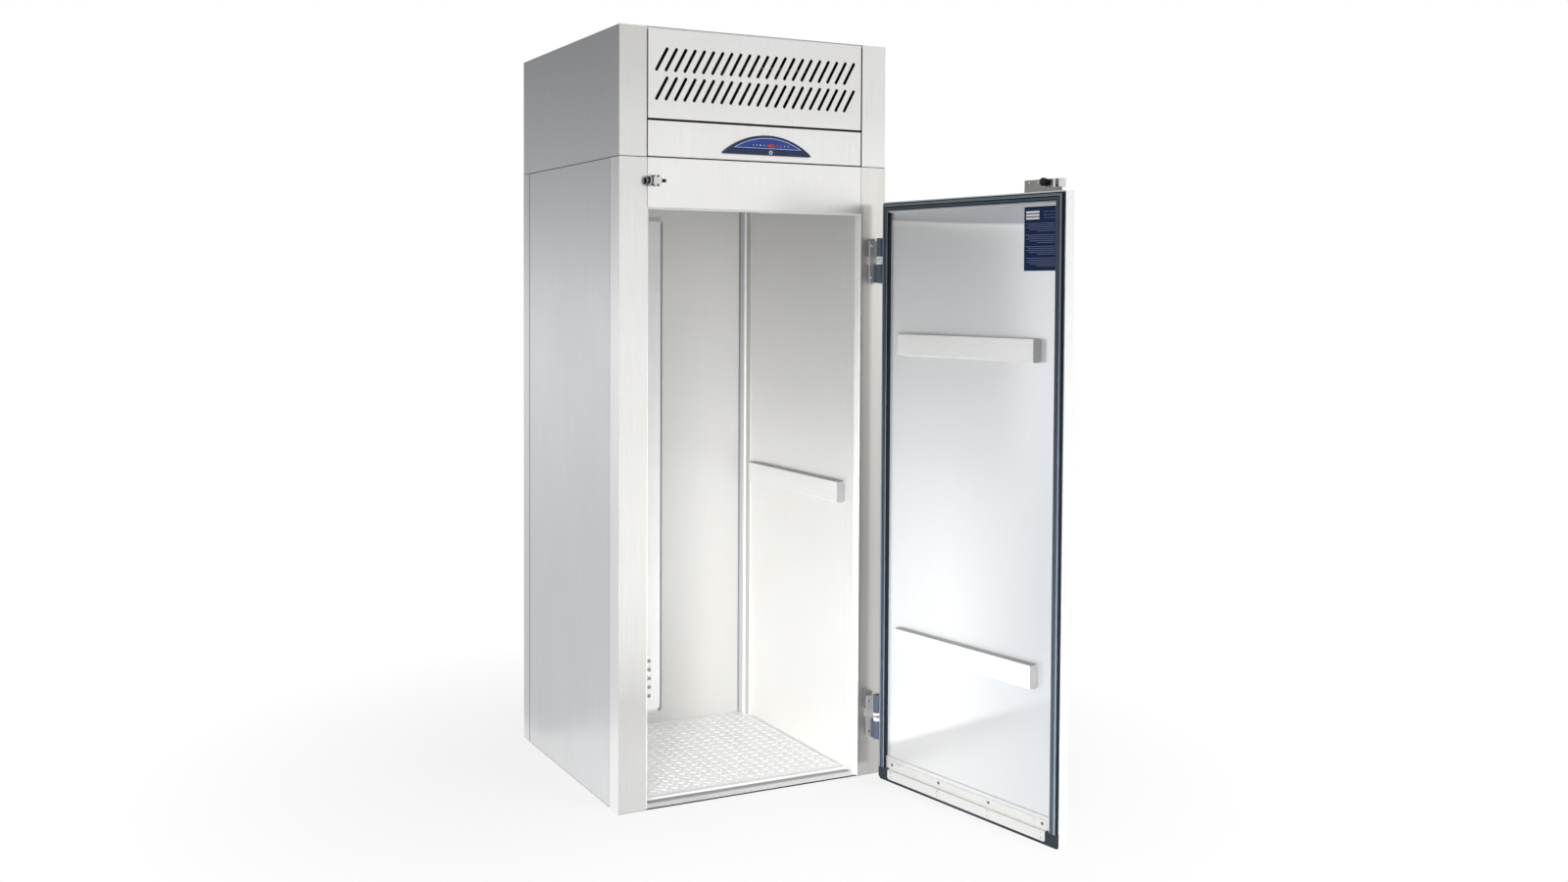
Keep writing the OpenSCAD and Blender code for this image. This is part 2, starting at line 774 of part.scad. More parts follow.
// The folded bracket: a foot on the door top and an upright plate
module latch_bracket() {
    back = bracket_y + bracket_t;
    color("silver") swung() difference() {
        union() {
            block([bracket_x, back - bracket_foot, door_top], [bracket_x + bracket_w, back, door_top + bracket_t]);
            block([bracket_x, bracket_y, door_top], [bracket_x + bracket_w, back, door_top + bracket_h]);
        }
        for (x = bracket_screw_xs) translate([x, bracket_y - over, bracket_screw_z]) rotate([-90, 0, 0])
            cylinder(d = catch_screw_d + clear, h = bracket_t + 2 * over, $fn = small);
        translate([knob_x, bracket_y - over, knob_z]) rotate([-90, 0, 0])
            cylinder(d = spindle_d + 2 * pin_fit, h = bracket_t + 2 * over);
    }
}

// The latch housing: a block with a slot for the tongue, and the tongue's pin across the slot
module latch_housing() {
    y0 = bracket_y + bracket_t;
    slot = tongue_w / 2 + clear;
    color("silver") swung() {
        difference() {
            block([latch_x - latch_w / 2, y0, latch_z], [latch_x + latch_w / 2, y0 + latch_d, latch_z + latch_h]);
            block([latch_x - slot, y0 + latch_wall, latch_z - over],
                [latch_x + slot, y0 + latch_d + over, latch_z + latch_h + over]);
        }
        bar_x([latch_x - slot - tiny, tongue_axis.x, tongue_axis.y], tongue_pin_d, 2 * (slot + tiny));
    }
}

// The sprung tongue, which stands up behind the catch roller
module latch_tongue() {
    nose = 9; // depth of the tongue
    heel = 3;
    color("dimgray") swung() translate([latch_x - tongue_w / 2, tongue_axis.x, tongue_axis.y]) difference() {
        union() {
            rotate([0, 90, 0]) cylinder(d = tongue_hub_d, h = tongue_w);
            upright_x(0, tongue_w) polygon([[-heel, 0], [-heel, tongue_h - nose], [nose - heel, tongue_h],
                [nose, tongue_h - heel], [nose, 0], [0, -heel]]);
        }
        bar_x([-over, 0, 0], tongue_pin_d + 2 * pin_fit, tongue_w + 2 * over);
    }
}

knob_d = 22;
knob_hub_d = 17;
knob_t = 14;
knob_skirt = 3; // plain part of the knob next to the bracket
knob_lobes = 8;
lobe_w = 6.4;
spindle_d = 8;
spindle_back = 4; // how far the spindle comes out behind the bracket
spindle_cap = 2;
knob_x = latch_x + 58;
knob_z = door_top + bracket_h - 8;

// The lobed release knob on its spindle through the bracket
module latch_knob() {
    y0 = bracket_y + bracket_t + clear;
    stem = bracket_t + spindle_back;
    color("black") swung() translate([knob_x, y0, knob_z]) rotate([-90, 0, 0]) {
        cylinder(d = knob_hub_d, h = knob_t);
        translate([0, 0, knob_skirt]) intersection() {
            cylinder(d = knob_d, h = knob_t - knob_skirt);
            for (i = [0:knob_lobes - 1]) rotate([0, 0, i * 360 / knob_lobes])
                translate([0, -lobe_w / 2, 0]) cube([knob_d, lobe_w, knob_t]);
        }
        translate([0, 0, -stem]) cylinder(d = spindle_d, h = stem + tiny);
        translate([0, 0, -stem]) cylinder(d = spindle_d + 4, h = spindle_cap);
    }
}

handle_x = door_l + 78;
grip_w = 22;
grip_t = 12;
stand_d = 16;
stand_in = 22; // from the grip's ends to its standoffs

// The upright pull handle on the door's outer face
module door_handle() {
    half = handle_h / 2;
    color("silver") swung() {
        for (z = [handle_z - half + stand_in, handle_z + half - stand_in])
            translate([handle_x, door_y, z]) rotate([90, 0, 0]) cylinder(d = stand_d, h = handle_out - grip_t + tiny);
        block([handle_x - grip_w / 2, door_y - handle_out, handle_z - half],
            [handle_x + grip_w / 2, door_y - handle_out + grip_t, handle_z + half]);
    }
}

// Machine housing

module housing_sides() {
    color("silver") both_sides() translate([0, 0, deck_z]) linear_extrude(top - sheet - deck_z) difference() {
        area([left + housing_in, front + housing_in], [opening_l - panel_gap / 2, rear - housing_in]);
        area([left + housing_in + sheet, front + housing_in + sheet], [opening_l + over, rear + over]);
    }
}

// The top sheet, with the rod on two ears that the louvred panel hangs on
module housing_top() {
    ear_x = panel_l - rod_ear_gap - rod_ear;
    color("silver") {
        block([left + housing_in, front + housing_in, top - sheet], [right - housing_in, rear - housing_in, top]);
        bar_x([ear_x + tiny, hinge_y, hinge_z], roll_bore - 2 * pin_fit, -2 * (ear_x + tiny));
        both_sides() block([ear_x, hinge_y - roll_d / 2 + clear, hinge_z - roll_d / 2],
            [ear_x + rod_ear, hinge_y + rod_ear_depth, top - sheet + tiny]);
    }
}

inlet_in = 110; // from the right side to the mains cable gland in the rear grille
inlet_up = 60; // its height above the deck
inlet_x = right - inlet_in;
inlet_z = cabinet_h + inlet_up;
gland_d = 20;
gland_bore = 10;
gland_in = 12; // length behind the grille
gland_collar_d = 28;
gland_collar = 8;
vent_rows = 3;
vents = 12; // slots in a row
vent_h = 8;
vent_bar = 10; // sheet left between two slots
vent_edge = 80; // from the sides to the first and last slot
vent_up = 120; // height of the lowest row above the deck
vent_z = cabinet_h + vent_up;
vent_pitch = 70;

// The rear grille between the housing sides: rows of slots and the mains cable gland
module rear_grille() {
    x0 = left + housing_in + sheet;
    step = (body_w - 2 * vent_edge) / vents;
    y1 = rear - housing_in;
    color("silver") difference() {
        block([x0, y1 - sheet, deck_z], [-x0, y1, top - sheet]);
        for (row = [0:vent_rows - 1], i = [0:vents - 1])
            block([left + vent_edge + i * step + vent_bar / 2, y1 - sheet - over, vent_z + row * vent_pitch],
                [left + vent_edge + (i + 1) * step - vent_bar / 2, y1 + over, vent_z + vent_h + row * vent_pitch]);
        bar_y([inlet_x, y1 - sheet - over, inlet_z], gland_d, sheet + 2 * over);
    }
    color("black") difference() {
        union() {
            bar_y([inlet_x, y1, inlet_z], gland_collar_d, gland_collar);
            bar_y([inlet_x, y1 - gland_in, inlet_z], gland_d, gland_in + tiny);
        }
        bar_y([inlet_x, y1 - gland_in - over, inlet_z], gland_bore, gland_in + gland_collar + 2 * over);
    }
}

// A round bar along +Y
module bar_y(start, d, length) {
    translate(start) rotate([-90, 0, 0]) cylinder(d = d, h = length);
}

panel_in = 1.5; // the panels lie a little behind the posts
panel_l = opening_l + panel_gap / 2;
panel_r = opening_r - panel_gap / 2;
louvre_z = split_z + panel_gap / 2;
louvre_top = top - sheet - clear;

roll_d = 10; // the panel's upper edge is rolled round a rod
roll_bore = 7.6;
hinge_y = front + panel_in + roll_d / 2;
hinge_z = louvre_top - roll_d / 2;
rod_ear = 8; // width of the ears that hold the rod's ends
rod_ear_gap = 4; // between the panel and an ear
rod_ear_depth = 9; // how far an ear reaches behind the rod's axis

slot_mid = 0.497; // height of the rows' middle as a share of the panel
flange = 14; // depth of the folded edges of the panels

// One slanted slot with round ends
module louvre_slot() {
    rotate(-slot_lean) {
        square([slot_w, slot_len], center = true);
        for (z = [-slot_len / 2, slot_len / 2]) translate([0, z]) circle(d = slot_w, $fn = small);
    }
}

// The louvred service panel, its upper edge rolled round the hinge rod
module louvre_panel() {
    y0 = front + panel_in;
    mid_z = louvre_z + (louvre_top - louvre_z) * slot_mid;
    color("whitesmoke") difference() {
        union() {
            block([panel_l, y0, louvre_z], [panel_r, y0 + sheet, hinge_z]);
            block([panel_l, y0, louvre_z], [panel_r, y0 + flange, louvre_z + sheet]);
            block([panel_l, y0, louvre_z], [panel_l + sheet, y0 + flange, hinge_z]);
            block([panel_r - sheet, y0, louvre_z], [panel_r, y0 + flange, hinge_z]);
            bar_x([panel_l, hinge_y, hinge_z], roll_d, panel_r - panel_l);
        }
        bar_x([panel_l - over, hinge_y, hinge_z], roll_bore, panel_r - panel_l + 2 * over);
        upright(y0 - over, sheet + 2 * over) for (row = [-0.5, 0.5], i = [0:slot_count - 1])
            translate([(i - (slot_count - 1) / 2) * slot_pitch, mid_z + row * slot_rows]) louvre_slot();
    }
}

moon_z = cabinet_h + 21; // flat lower edge of the control panel
moon_r = (moon_w * moon_w / 4 + moon_h * moon_h) / (2 * moon_h);
fascia_y = front + panel_in;

// A half-moon outline with its flat edge on z = 0, drawn in by inset and cut off below low
module moon(inset, low) {
    intersection() {
        translate([0, moon_h - moon_r]) circle(moon_r - inset, $fn = 180);
        area([-moon_w / 2 + inset, low], [moon_w / 2 - inset, moon_h]);
    }
}

// The fixed fascia that carries the controls, with a folded upper edge
module control_fascia() {
    z1 = split_z - panel_gap / 2;
    color("whitesmoke") {
        block([panel_l, fascia_y, deck_z], [panel_r, fascia_y + sheet, z1]);
        block([panel_l, fascia_y + sheet - tiny, z1 - sheet], [panel_r, fascia_y + flange, z1]);
    }
}

face_low = 17; // height of the sloping band below the inner face
face_rim = 6; // bezel left uncovered round the inner face
band_lean = 24;
face_t = 0.8;
key_x = moon_x + 10; // the display stands a little right of the panel's middle
key_z = moon_z + 28;
lock_z = moon_z + 8;
lock_d = 12;
lock_in = 2.5; // the key switch ends short of the fascia
keyway = [2, 8, 2];
display_w = 23;
display_h = 9;
display_out = 0.2;
lamp_d = 4;
lamp_out = 0.6;
button_0 = -59; // first button and first lamp from the display's middle
lamp_0 = 22;
key_sunk = 3; // how deep a button reaches into the bezel
key_hole = 5; // depth of a button's hole in the bezel
travel = 1.2; // travel of a push button
key_out = 1.6; // how far a button stands off the face

function button_x(i) = key_x + button_0 + i * key_pitch;
function lamp_x(i) = key_x + lamp_0 + i * key_pitch;

// The moulded bezel: a half-moon block with a sloping lower band
module control_bezel() {
    y0 = fascia_y - moon_t;
    color("midnightblue") difference() {
        translate([moon_x, y0, moon_z]) difference() {
            upright(0, moon_t) moon(0, 0);
            translate([-moon_w, 0, face_low]) rotate([-band_lean, 0, 0]) translate([0, -far, -far]) cube([2 * moon_w, far, far]);
        }
        for (i = [0:3]) bar_y([button_x(i), y0 - over, key_z], key_d + clear, key_hole + over);
        bar_y([key_x, y0 - over, lock_z], lock_d + 2 * pin_fit, moon_t + 2 * over);
    }
}

// The printed inner face, with holes for the buttons, the display and the lamps
module control_face() {
    y0 = fascia_y - moon_t - face_t;
    through = face_t + 2 * over;
    color("royalblue") difference() {
        translate([moon_x, y0, moon_z]) upright(0, face_t) moon(face_rim, face_low + 0.5);
        for (i = [0:3]) {
            bar_y([button_x(i), y0 - over, key_z], key_d + clear, through);
            bar_y([lamp_x(i), y0 - over, key_z], lamp_d + clear, through);
        }
        block([key_x - display_w / 2, y0 - over, key_z - display_h / 2],
            [key_x + display_w / 2, y0 - over + through, key_z + display_h / 2]);
    }
}

// The display window and the four indicator lamps
module display_and_lamps() {
    y0 = fascia_y - moon_t - face_t;
    fit = 0.1;
    color("red") {
        block([key_x - display_w / 2 + fit, y0 - display_out, key_z - display_h / 2 + fit],
            [key_x + display_w / 2 - fit, y0 + face_t, key_z + display_h / 2 - fit]);
        for (i = [0:3]) bar_y([lamp_x(i), y0 - lamp_out, key_z], lamp_d, face_t + lamp_out);
    }
}

module button(i) {
    y0 = fascia_y - moon_t - face_t - key_out;
    color("lightsteelblue") bar_y([button_x(i), y0, key_z], key_d, key_out + face_t + key_sunk);
}

module button_1() {
    button(0);
}

module button_2() {
    button(1);
}

module button_3() {
    button(2);
}

module button_4() {
    button(3);
}

// The round key switch in the bezel's sloping band
module key_switch() {
    y0 = fascia_y - moon_t;
    color("silver") difference() {
        bar_y([key_x, y0, lock_z], lock_d, moon_t - lock_in);
        translate([key_x - keyway.x / 2, y0 - over, lock_z - keyway.y / 2]) cube([keyway.x, keyway.z + over, keyway.y]);
    }
}

// Machinery on the roof deck

tube_d = 9.5; // coil tube
line_d = 10; // discharge and suction lines
liquid_d = 8;
end_plate = 2;
end_lip = 3; // how far an end plate reaches past its fins
fin_groove = 3;
fin_groove_d = 4;
fin_groove_end = 4; // whole block left above and below a groove
fin_grooves = 16;
bend_stub = 6;

// A finned coil block with end plates and return bends, its low corner at the origin
module coil(w, d, h, rows) {
    difference() {
        block([end_plate, 0, 0], [w - end_plate, d, h]);
        for (i = [1:fin_grooves - 1])
            block([i * w / fin_grooves, -over, fin_groove_end],
                [i * w / fin_grooves + fin_groove, fin_groove_d, h - fin_groove_end]);
    }
    for (x = [0, w - end_plate]) block([x, -end_lip, -end_lip], [x + end_plate, d + end_lip, h + end_lip]);
    for (i = [0:rows - 1]) {
        translate([0, d / 2, (i + 0.5) * h / rows]) return_bend(d / 2);
        translate([w, d / 2, (i + 0.5) * h / rows]) mirror([1, 0, 0]) return_bend(d / 2);
    }
}

// Half a ring of tube standing out to the left of a coil end
module return_bend(width) {
    for (y = [-width / 2, width / 2]) bar_x([-bend_stub, y, 0], tube_d, bend_stub);
    translate([-bend_stub, 0, 0]) rotate([0, 0, 90]) rotate_extrude(angle = 180)
        translate([width / 2, 0]) circle(d = tube_d, $fn = small);
}

coil_w = 330;
coil_h = 300;
coil_d = 60;
coil_in = [110, 40, 25]; // from the left side, the front and the deck
coil_l = left + coil_in.x;
coil_y = front + coil_in.y;
coil_z = cabinet_h + coil_in.z;
coil_rows = 8;
coil_foot_w = 20;
coil_foot_in = 20;

// The condenser on the two feet that carry it on the deck
module condenser_coil() {
    color("darkgray") {
        translate([coil_l, coil_y, coil_z]) coil(coil_w, coil_d, coil_h, coil_rows);
        for (x = [coil_l + coil_foot_in, coil_l + coil_w - coil_foot_in - coil_foot_w])
            block([x, coil_y, cabinet_h], [x + coil_foot_w, coil_y + coil_d, coil_z + tiny]);
    }
}

shroud_y = coil_y + coil_d + end_lip;
shroud_d = 46;
shroud_t = 1.5;
shroud_x = coil_l + coil_w / 2;
shroud_z = coil_z + coil_h / 2;
blade_r = 122;
blade_gap = 5;
blade_depth = 26;
blade_t = 1.6;
blades = 5;
blade_lean = 28;
hub_r = 28;
hub_wall = 4;
shaft_d = 8;
blade_y = shroud_y + shroud_d + 8;

// The box that ducts the coil into the round fan mouth, on two feet
module fan_shroud() {
    t = shroud_t;
    z0 = coil_z - end_lip;
    z1 = coil_z + coil_h + end_lip;
    color("dimgray") {
        difference() {
            block([coil_l, shroud_y, z0], [coil_l + coil_w, shroud_y + shroud_d, z1]);
            block([coil_l + t, shroud_y - over, z0 + t], [coil_l + coil_w - t, shroud_y + shroud_d - t, z1 - t]);
            bar_y([shroud_x, shroud_y, shroud_z], 2 * (blade_r + blade_gap), shroud_d + over);
        }
        for (x = [coil_l + coil_foot_in, coil_l + coil_w - coil_foot_in - coil_foot_w])
            block([x, shroud_y, cabinet_h], [x + coil_foot_w, shroud_y + shroud_d, z0 + tiny]);
    }
}

// Fan blades round a hub, axis along +Z, blades centred on z = 0
module fan(radius) {
    inner = hub_r - hub_wall;
    difference() {
        union() {
            translate([0, 0, -blade_depth / 2]) cylinder(r = hub_r, h = blade_depth);
            intersection() {
                difference() {
                    translate([0, 0, -blade_depth]) cylinder(r = radius, h = 2 * blade_depth);
                    translate([0, 0, -blade_depth - over]) cylinder(r = inner, h = 2 * (blade_depth + over));
                }
                for (i = [0:blades - 1]) rotate([0, 0, i * 360 / blades])
                    translate([radius / 2, 0, 0]) rotate([blade_lean, 0, 0])
                        cube([radius + 2 * blade_gap, radius * 0.62, blade_t], center = true);
            }
        }
        translate([0, 0, -blade_depth]) cylinder(d = shaft_d + 2 * pin_fit, h = 2 * blade_depth);
    }
}

module condenser_fan() {
    color("black") translate([shroud_x, blade_y, shroud_z]) rotate([-90, 0, 0]) fan(blade_r);
}

comp_d = 170;
comp_in = [230, 250]; // compressor's axis from the right side and from the front
comp_x = right - comp_in.x;
comp_y = front + comp_in.y;
liquid_gap = 32.5; // from the compressor, and from the evaporator, to the liquid line between them
liquid_x = comp_x - comp_d / 2 - liquid_gap;

evap_in = 95; // from the left side
evap_back = 265; // from the load space's rear wall to the evaporator's front
evap_l = left + evap_in;
evap_w = liquid_x - liquid_gap - evap_l;
evap_y = load_y - evap_back;
evap_depth = 200;
evap_z = cabinet_h + 20;
evap_h = 150;
evap_rows = 4;
evap_fan_z = cabinet_h - 40;
tray_out = [30, 15]; // how far the drip tray reaches past the coil
tray_t = 2;
tray_gutter = 9; // width of the tray's gutter along the front
motor_d = 62;
motor_h = 45;
motor_cap_d = 44;
motor_cap = 10;
shaft_tip = 2; // from the hub's end to the shaft's tip
motor_gap = 7; // from the hub to the motor, which stays clear of the blades' edges
strap_w = 20;
fan_strap_t = 4;
strap_over = 20; // how far the strap lies on the deck

// A round motor with its shaft, axis along +Z from the shaft's tip
module motor() {
    shaft = blade_depth - shaft_tip + motor_gap;
    cylinder(d = shaft_d, h = shaft + tiny);
    translate([0, 0, shaft]) cylinder(d = motor_d, h = motor_h);
    translate([0, 0, shaft + motor_h - tiny]) cylinder(d = motor_cap_d, h = motor_cap);
}

// Both fan motors: one on a post from the deck, one on a strap over the fan mouth
module fan_motors() {
    post_y = blade_y + blade_depth / 2 + motor_gap + motor_cap;
    half = mouth / 2 + strap_over;
    color("gray") {
        translate([shroud_x, blade_y - blade_depth / 2 + shaft_tip, shroud_z]) rotate([-90, 0, 0]) motor();
        block([shroud_x - strap_w / 2, post_y, cabinet_h], [shroud_x + strap_w / 2, post_y + strap_w, shroud_z]);
        translate([fan_x, fan_y, evap_fan_z - blade_depth / 2 + shaft_tip]) motor();
        block([fan_x - half, fan_y - strap_w / 2, cabinet_h], [fan_x + half, fan_y + strap_w / 2, cabinet_h + fan_strap_t]);
    }
}

module evaporator_fan() {
    color("black") translate([fan_x, fan_y, evap_fan_z]) fan(mouth / 2 - 12);
}

// The evaporator behind the ceiling mouth, on its drip tray
module evaporator_coil() {
    z1 = evap_z - end_lip;
    color("gainsboro") {
        translate([evap_l, evap_y, evap_z]) coil(evap_w, evap_depth, evap_h, evap_rows);
        difference() {
            block([evap_l - tray_out.x, evap_y - tray_out.y, cabinet_h],
                [evap_l + evap_w + tray_out.x, evap_y + evap_depth + tray_out.y, z1 + tiny]);
            block([evap_l - tray_out.x + tray_t, evap_y - tray_out.y + tray_t, cabinet_h + tray_t],
                [evap_l + evap_w + tray_out.x - tray_t, evap_y - tray_out.y + tray_t + tray_gutter, z1 + over]);
        }
    }
}

comp_h = 190; // from the foot plate's underside to the flat top
comp_plate_t = 3;
comp_plate_out = 10;
cone_low = 20; // height of the can's lower cone
cone_high = 30;
cone_in = 20; // how far the lower cone draws in
top_in = 30; // how far the upper cone draws in
weld_z = 80; // height of the weld band
weld_h = 8;
weld_out = 4;
terminal = [34, 60, 55]; // terminal box
terminal_z = 95;
mount_h = 18;
mount_d = 26;
mount_pin_d = 9.4;
mount_pin = 8;
comp_top = cabinet_h + mount_h + comp_h;
comp_corners = [for (x = [-1, 1], y = [-1, 1]) [comp_x + x * comp_d / 2, comp_y + y * comp_d / 2]];

// The hermetic compressor: welded can, foot plate and terminal box
module compressor() {
    r = comp_d / 2;
    plate = r + comp_plate_out;
    z1 = comp_plate_t + cone_low;
    z2 = comp_h - cone_high;
    color("black") difference() {
        translate([comp_x, comp_y, cabinet_h + mount_h]) {
            block([-plate, -plate, 0], [plate, plate, comp_plate_t]);
            translate([0, 0, comp_plate_t - tiny]) cylinder(r1 = r - cone_in, r2 = r, h = cone_low + tiny, $fn = 96);
            translate([0, 0, z1 - tiny]) cylinder(r = r, h = z2 - z1 + 2 * tiny, $fn = 96);
            translate([0, 0, z2]) cylinder(r1 = r, r2 = r - top_in, h = cone_high, $fn = 96);
            translate([0, 0, weld_z]) cylinder(r = r + weld_out, h = weld_h, $fn = 96);
            translate([r - terminal.x / 3, -terminal.y / 2, terminal_z]) cube(terminal);
        }
        for (at = comp_corners) translate([at.x, at.y, cabinet_h + mount_h - over])
            cylinder(d = mount_pin_d + 2 * clear, h = comp_plate_t + 2 * over, $fn = small);
    }
}

// Rubber feet under the compressor, each with a pin through the foot plate
module compressor_mounts() {
    color("dimgray") for (at = comp_corners) translate([at.x, at.y, cabinet_h]) {
        cylinder(d = mount_d, h = mount_h, $fn = small);
        translate([0, 0, mount_h - tiny]) cylinder(d = mount_pin_d, h = mount_pin, $fn = small);
    }
}

// A tube through a list of points, with a fitting at each bend
module pipe(points, d) {
    last = len(points) - 1;
    for (i = [0:last - 1]) {
        run = points[i + 1] - points[i];
        length = norm(run);
        translate(points[i]) rotate([0, acos(run.z / length), atan2(run.y, run.x)])
            cylinder(d = d, h = length, $fn = small);
        if (i > 0) translate(points[i]) sphere(d = d * 1.35, $fn = small);
    }
}

drier_d = 26;
drier_h = 90;
line_in = 22; // from the evaporator's front to the liquid line's end
line_apart = 40; // between the two lines on the compressor
loop_rise = 25; // how far the suction line rises above the compressor

// Discharge, suction and liquid lines, the last with its filter drier
module pipework() {
    coil_r = coil_l + coil_w; // right end plates, on which the lines end
    evap_r = evap_l + evap_w;
    coil_mid = coil_y + coil_d / 2;
    evap_mid = evap_y + evap_depth / 2;
    evap_near = evap_y + line_in;
    high_z = coil_z + coil_h * 7 / coil_rows; // between two return bends
    low_z = coil_z + coil_h / coil_rows;
    suction_z = evap_z + evap_h * 3 / evap_rows;
    loop_z = comp_top + loop_rise;
    hot_x = comp_x - line_apart / 2;
    cold_x = comp_x + line_apart / 2;
    color("peru") {
        pipe([[hot_x, comp_y, comp_top], [hot_x, comp_y, high_z], [hot_x, coil_mid, high_z],
            [coil_r, coil_mid, high_z]], line_d);
        pipe([[cold_x, comp_y, comp_top], [cold_x, comp_y, loop_z], [cold_x, evap_mid, loop_z],
            [cold_x, evap_mid, suction_z], [evap_r, evap_mid, suction_z]], line_d);
        pipe([[coil_r, coil_mid, low_z], [liquid_x, coil_mid, low_z], [liquid_x, evap_near, low_z],
            [evap_r, evap_near, low_z]], liquid_d);
        bar_y([liquid_x, fan_y - drier_h, low_z], drier_d, drier_h);
    }
}

box_in = [190, 230]; // electrical box's low corner from the right side and from the rear
box_at = [right - box_in.x, rear - box_in.y];
box_size = [150, 180, 110];
box_t = 2;
board_t = 1.6;
board_in = 10;
modules = 4; // blocks on the circuit board
module_w = 20;
module_pitch = 30;
module_h = 22;

// The electrical box with its circuit board and the blocks on it
module electrical_box() {
    translate([box_at.x, box_at.y, cabinet_h]) {
        color("lightgray") difference() {
            cube(box_size);
            translate([box_t, box_t, box_t]) cube(box_size - 2 * [box_t, box_t, box_t]);
        }
        color("green") block([board_in, board_in, box_t], [box_size.x - board_in, box_size.y - board_in, box_t + board_t]);
        color("dimgray") for (i = [0:modules - 1])
            block([module_w + i * module_pitch, 2 * module_w, box_t + board_t - tiny],
                [2 * module_w + i * module_pitch, (3 + i) * module_w, box_t + board_t + module_h]);
    }
}

left_side_panel();
right_side_panel();
rear_panel();
left_front_post();
right_front_post();
header_panel();
roof_deck();
cabinet_insulation();
side_liners();
rear_liner();
ceiling_liner();
opening_trim();
corner_trims();
air_duct();
wall_bumper_rails();
floor_plate();
sill();
catch_body();
catch_roller();
hinge_frame_leaves();
frame_screws();
hinge_pins();
hinge_door_leaves();
door_outer_skin();
door_insulation();
door_liner();
door_seal();
door_wiper();
wiper_clamp();
door_screws();
door_bumper_rails();
door_plate();
latch_bracket();
latch_housing();
latch_tongue();
latch_knob();
door_handle();
housing_sides();
housing_top();
rear_grille();
louvre_panel();
control_fascia();
control_bezel();
control_face();
display_and_lamps();
button_1();
button_2();
button_3();
button_4();
key_switch();
condenser_coil();
fan_shroud();
condenser_fan();
fan_motors();
compressor();
compressor_mounts();
pipework();
evaporator_coil();
evaporator_fan();
electrical_box();
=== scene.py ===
import json
import math
from math import cos, pi, radians, sin

import bmesh
import bpy
from mathutils import Matrix, Vector


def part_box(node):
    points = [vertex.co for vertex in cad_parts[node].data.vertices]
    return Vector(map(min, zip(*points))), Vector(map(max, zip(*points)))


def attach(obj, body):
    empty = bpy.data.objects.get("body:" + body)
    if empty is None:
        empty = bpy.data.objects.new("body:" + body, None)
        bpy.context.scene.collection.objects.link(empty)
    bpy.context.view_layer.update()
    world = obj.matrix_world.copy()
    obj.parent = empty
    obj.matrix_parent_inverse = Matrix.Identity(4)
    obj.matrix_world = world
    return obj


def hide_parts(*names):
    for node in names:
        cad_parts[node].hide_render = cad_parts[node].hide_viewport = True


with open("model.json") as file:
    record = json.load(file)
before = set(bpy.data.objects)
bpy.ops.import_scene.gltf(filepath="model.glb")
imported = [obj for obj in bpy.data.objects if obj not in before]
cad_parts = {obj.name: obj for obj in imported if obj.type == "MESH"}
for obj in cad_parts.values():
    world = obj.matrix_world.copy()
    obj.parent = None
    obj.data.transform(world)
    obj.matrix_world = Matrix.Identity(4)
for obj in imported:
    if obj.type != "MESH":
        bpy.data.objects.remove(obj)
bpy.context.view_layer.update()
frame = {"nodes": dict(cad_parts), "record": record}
BODY = {n: b for b, ns in frame["record"]["behaviour"]["bodies"].items() for n in ns}
MM = 0.001
WELD = 2e-6  # metres: points closer than this are one

# Places in the row frame, in millimetres, as in the CAD source
LEFT, RIGHT, FRONT, REAR = -437.5, 437.5, -427.5, 427.5
CABINET, SPLIT, TOP = 1875.0, 1983.0, 2245.0  # cabinet top, seam below the louvred panel, housing top
OPEN_L, OPEN_R, OPEN_Z = -352.5, 352.5, 1732.0
FRAME_Y, LOAD_Y = -342.5, 362.5
LEG_Y = REAR - 63
RIM_Y, DOOR_Y = -437.8, -469.8  # inner rim and outer face of the shut door
DOOR_L, DOOR_R, DOOR_LOW, DOOR_TOP = -373.5, 373.5, 10.0, 1758.0
SEAL_L, SEAL_R, SEAL_TOP, WIPER_TOP = -369.5, 369.5, 1754.0, 39.0
CLAMP_L, CLAMP_R = SEAL_L + 42, SEAL_R - 42
DUCT_L, DUCT_R, DUCT_LOW, DUCT_TOP = -266.0, 34.0, 45.0, 1745.0
DUCT_OUT, DUCT_SLOPE = 22.0, 16.0
FLOOR_TOP, FLOOR_MARGIN, TREAD_PITCH = 8.0, 16.0, 18.0
RAIL_HALF, RAIL_OUT, RAIL_BEND = 33.0, 25.0, 3.0
CATCH_X, ROLLER_Z, CATCH_HALF = LEFT + 106, 1808.0, 14.0
GLAND_X, GLAND_Z, GLAND_R = 327.5, 1935.0, 14.5

PIVOT = (406.5, -455.5)
HINGE_ZS = (182.0, 1587.0)
LEAF_Z, CAM_Z, REACH = 64.0, 8.0, PIVOT[0] - DOOR_R
OPEN_TURN = 98.5  # degrees
RISE = 29 * OPEN_TURN / 360  # the cams lift the door 29 mm in a full turn

FASCIA_Y = FRONT + 1.5
FASCIA_LOW = CABINET + 3.7
MOON_X, MOON_Z, MOON_W, MOON_H, MOON_T = 28.0, 1896.0, 300.0, 58.0, 9.0
MOON_R = (MOON_W ** 2 / 4 + MOON_H ** 2) / (2 * MOON_H)
FACE_Y = FASCIA_Y - MOON_T - 0.8
TIP_X = 144.0  # half the bezel's width between its rounded tips
KEY_X, KEY_Z, LOCK_Z = 38.0, 1924.0, 1904.0
KEY_PITCH, BUTTON_X, LAMP_X = 11.5, KEY_X - 59, KEY_X + 22

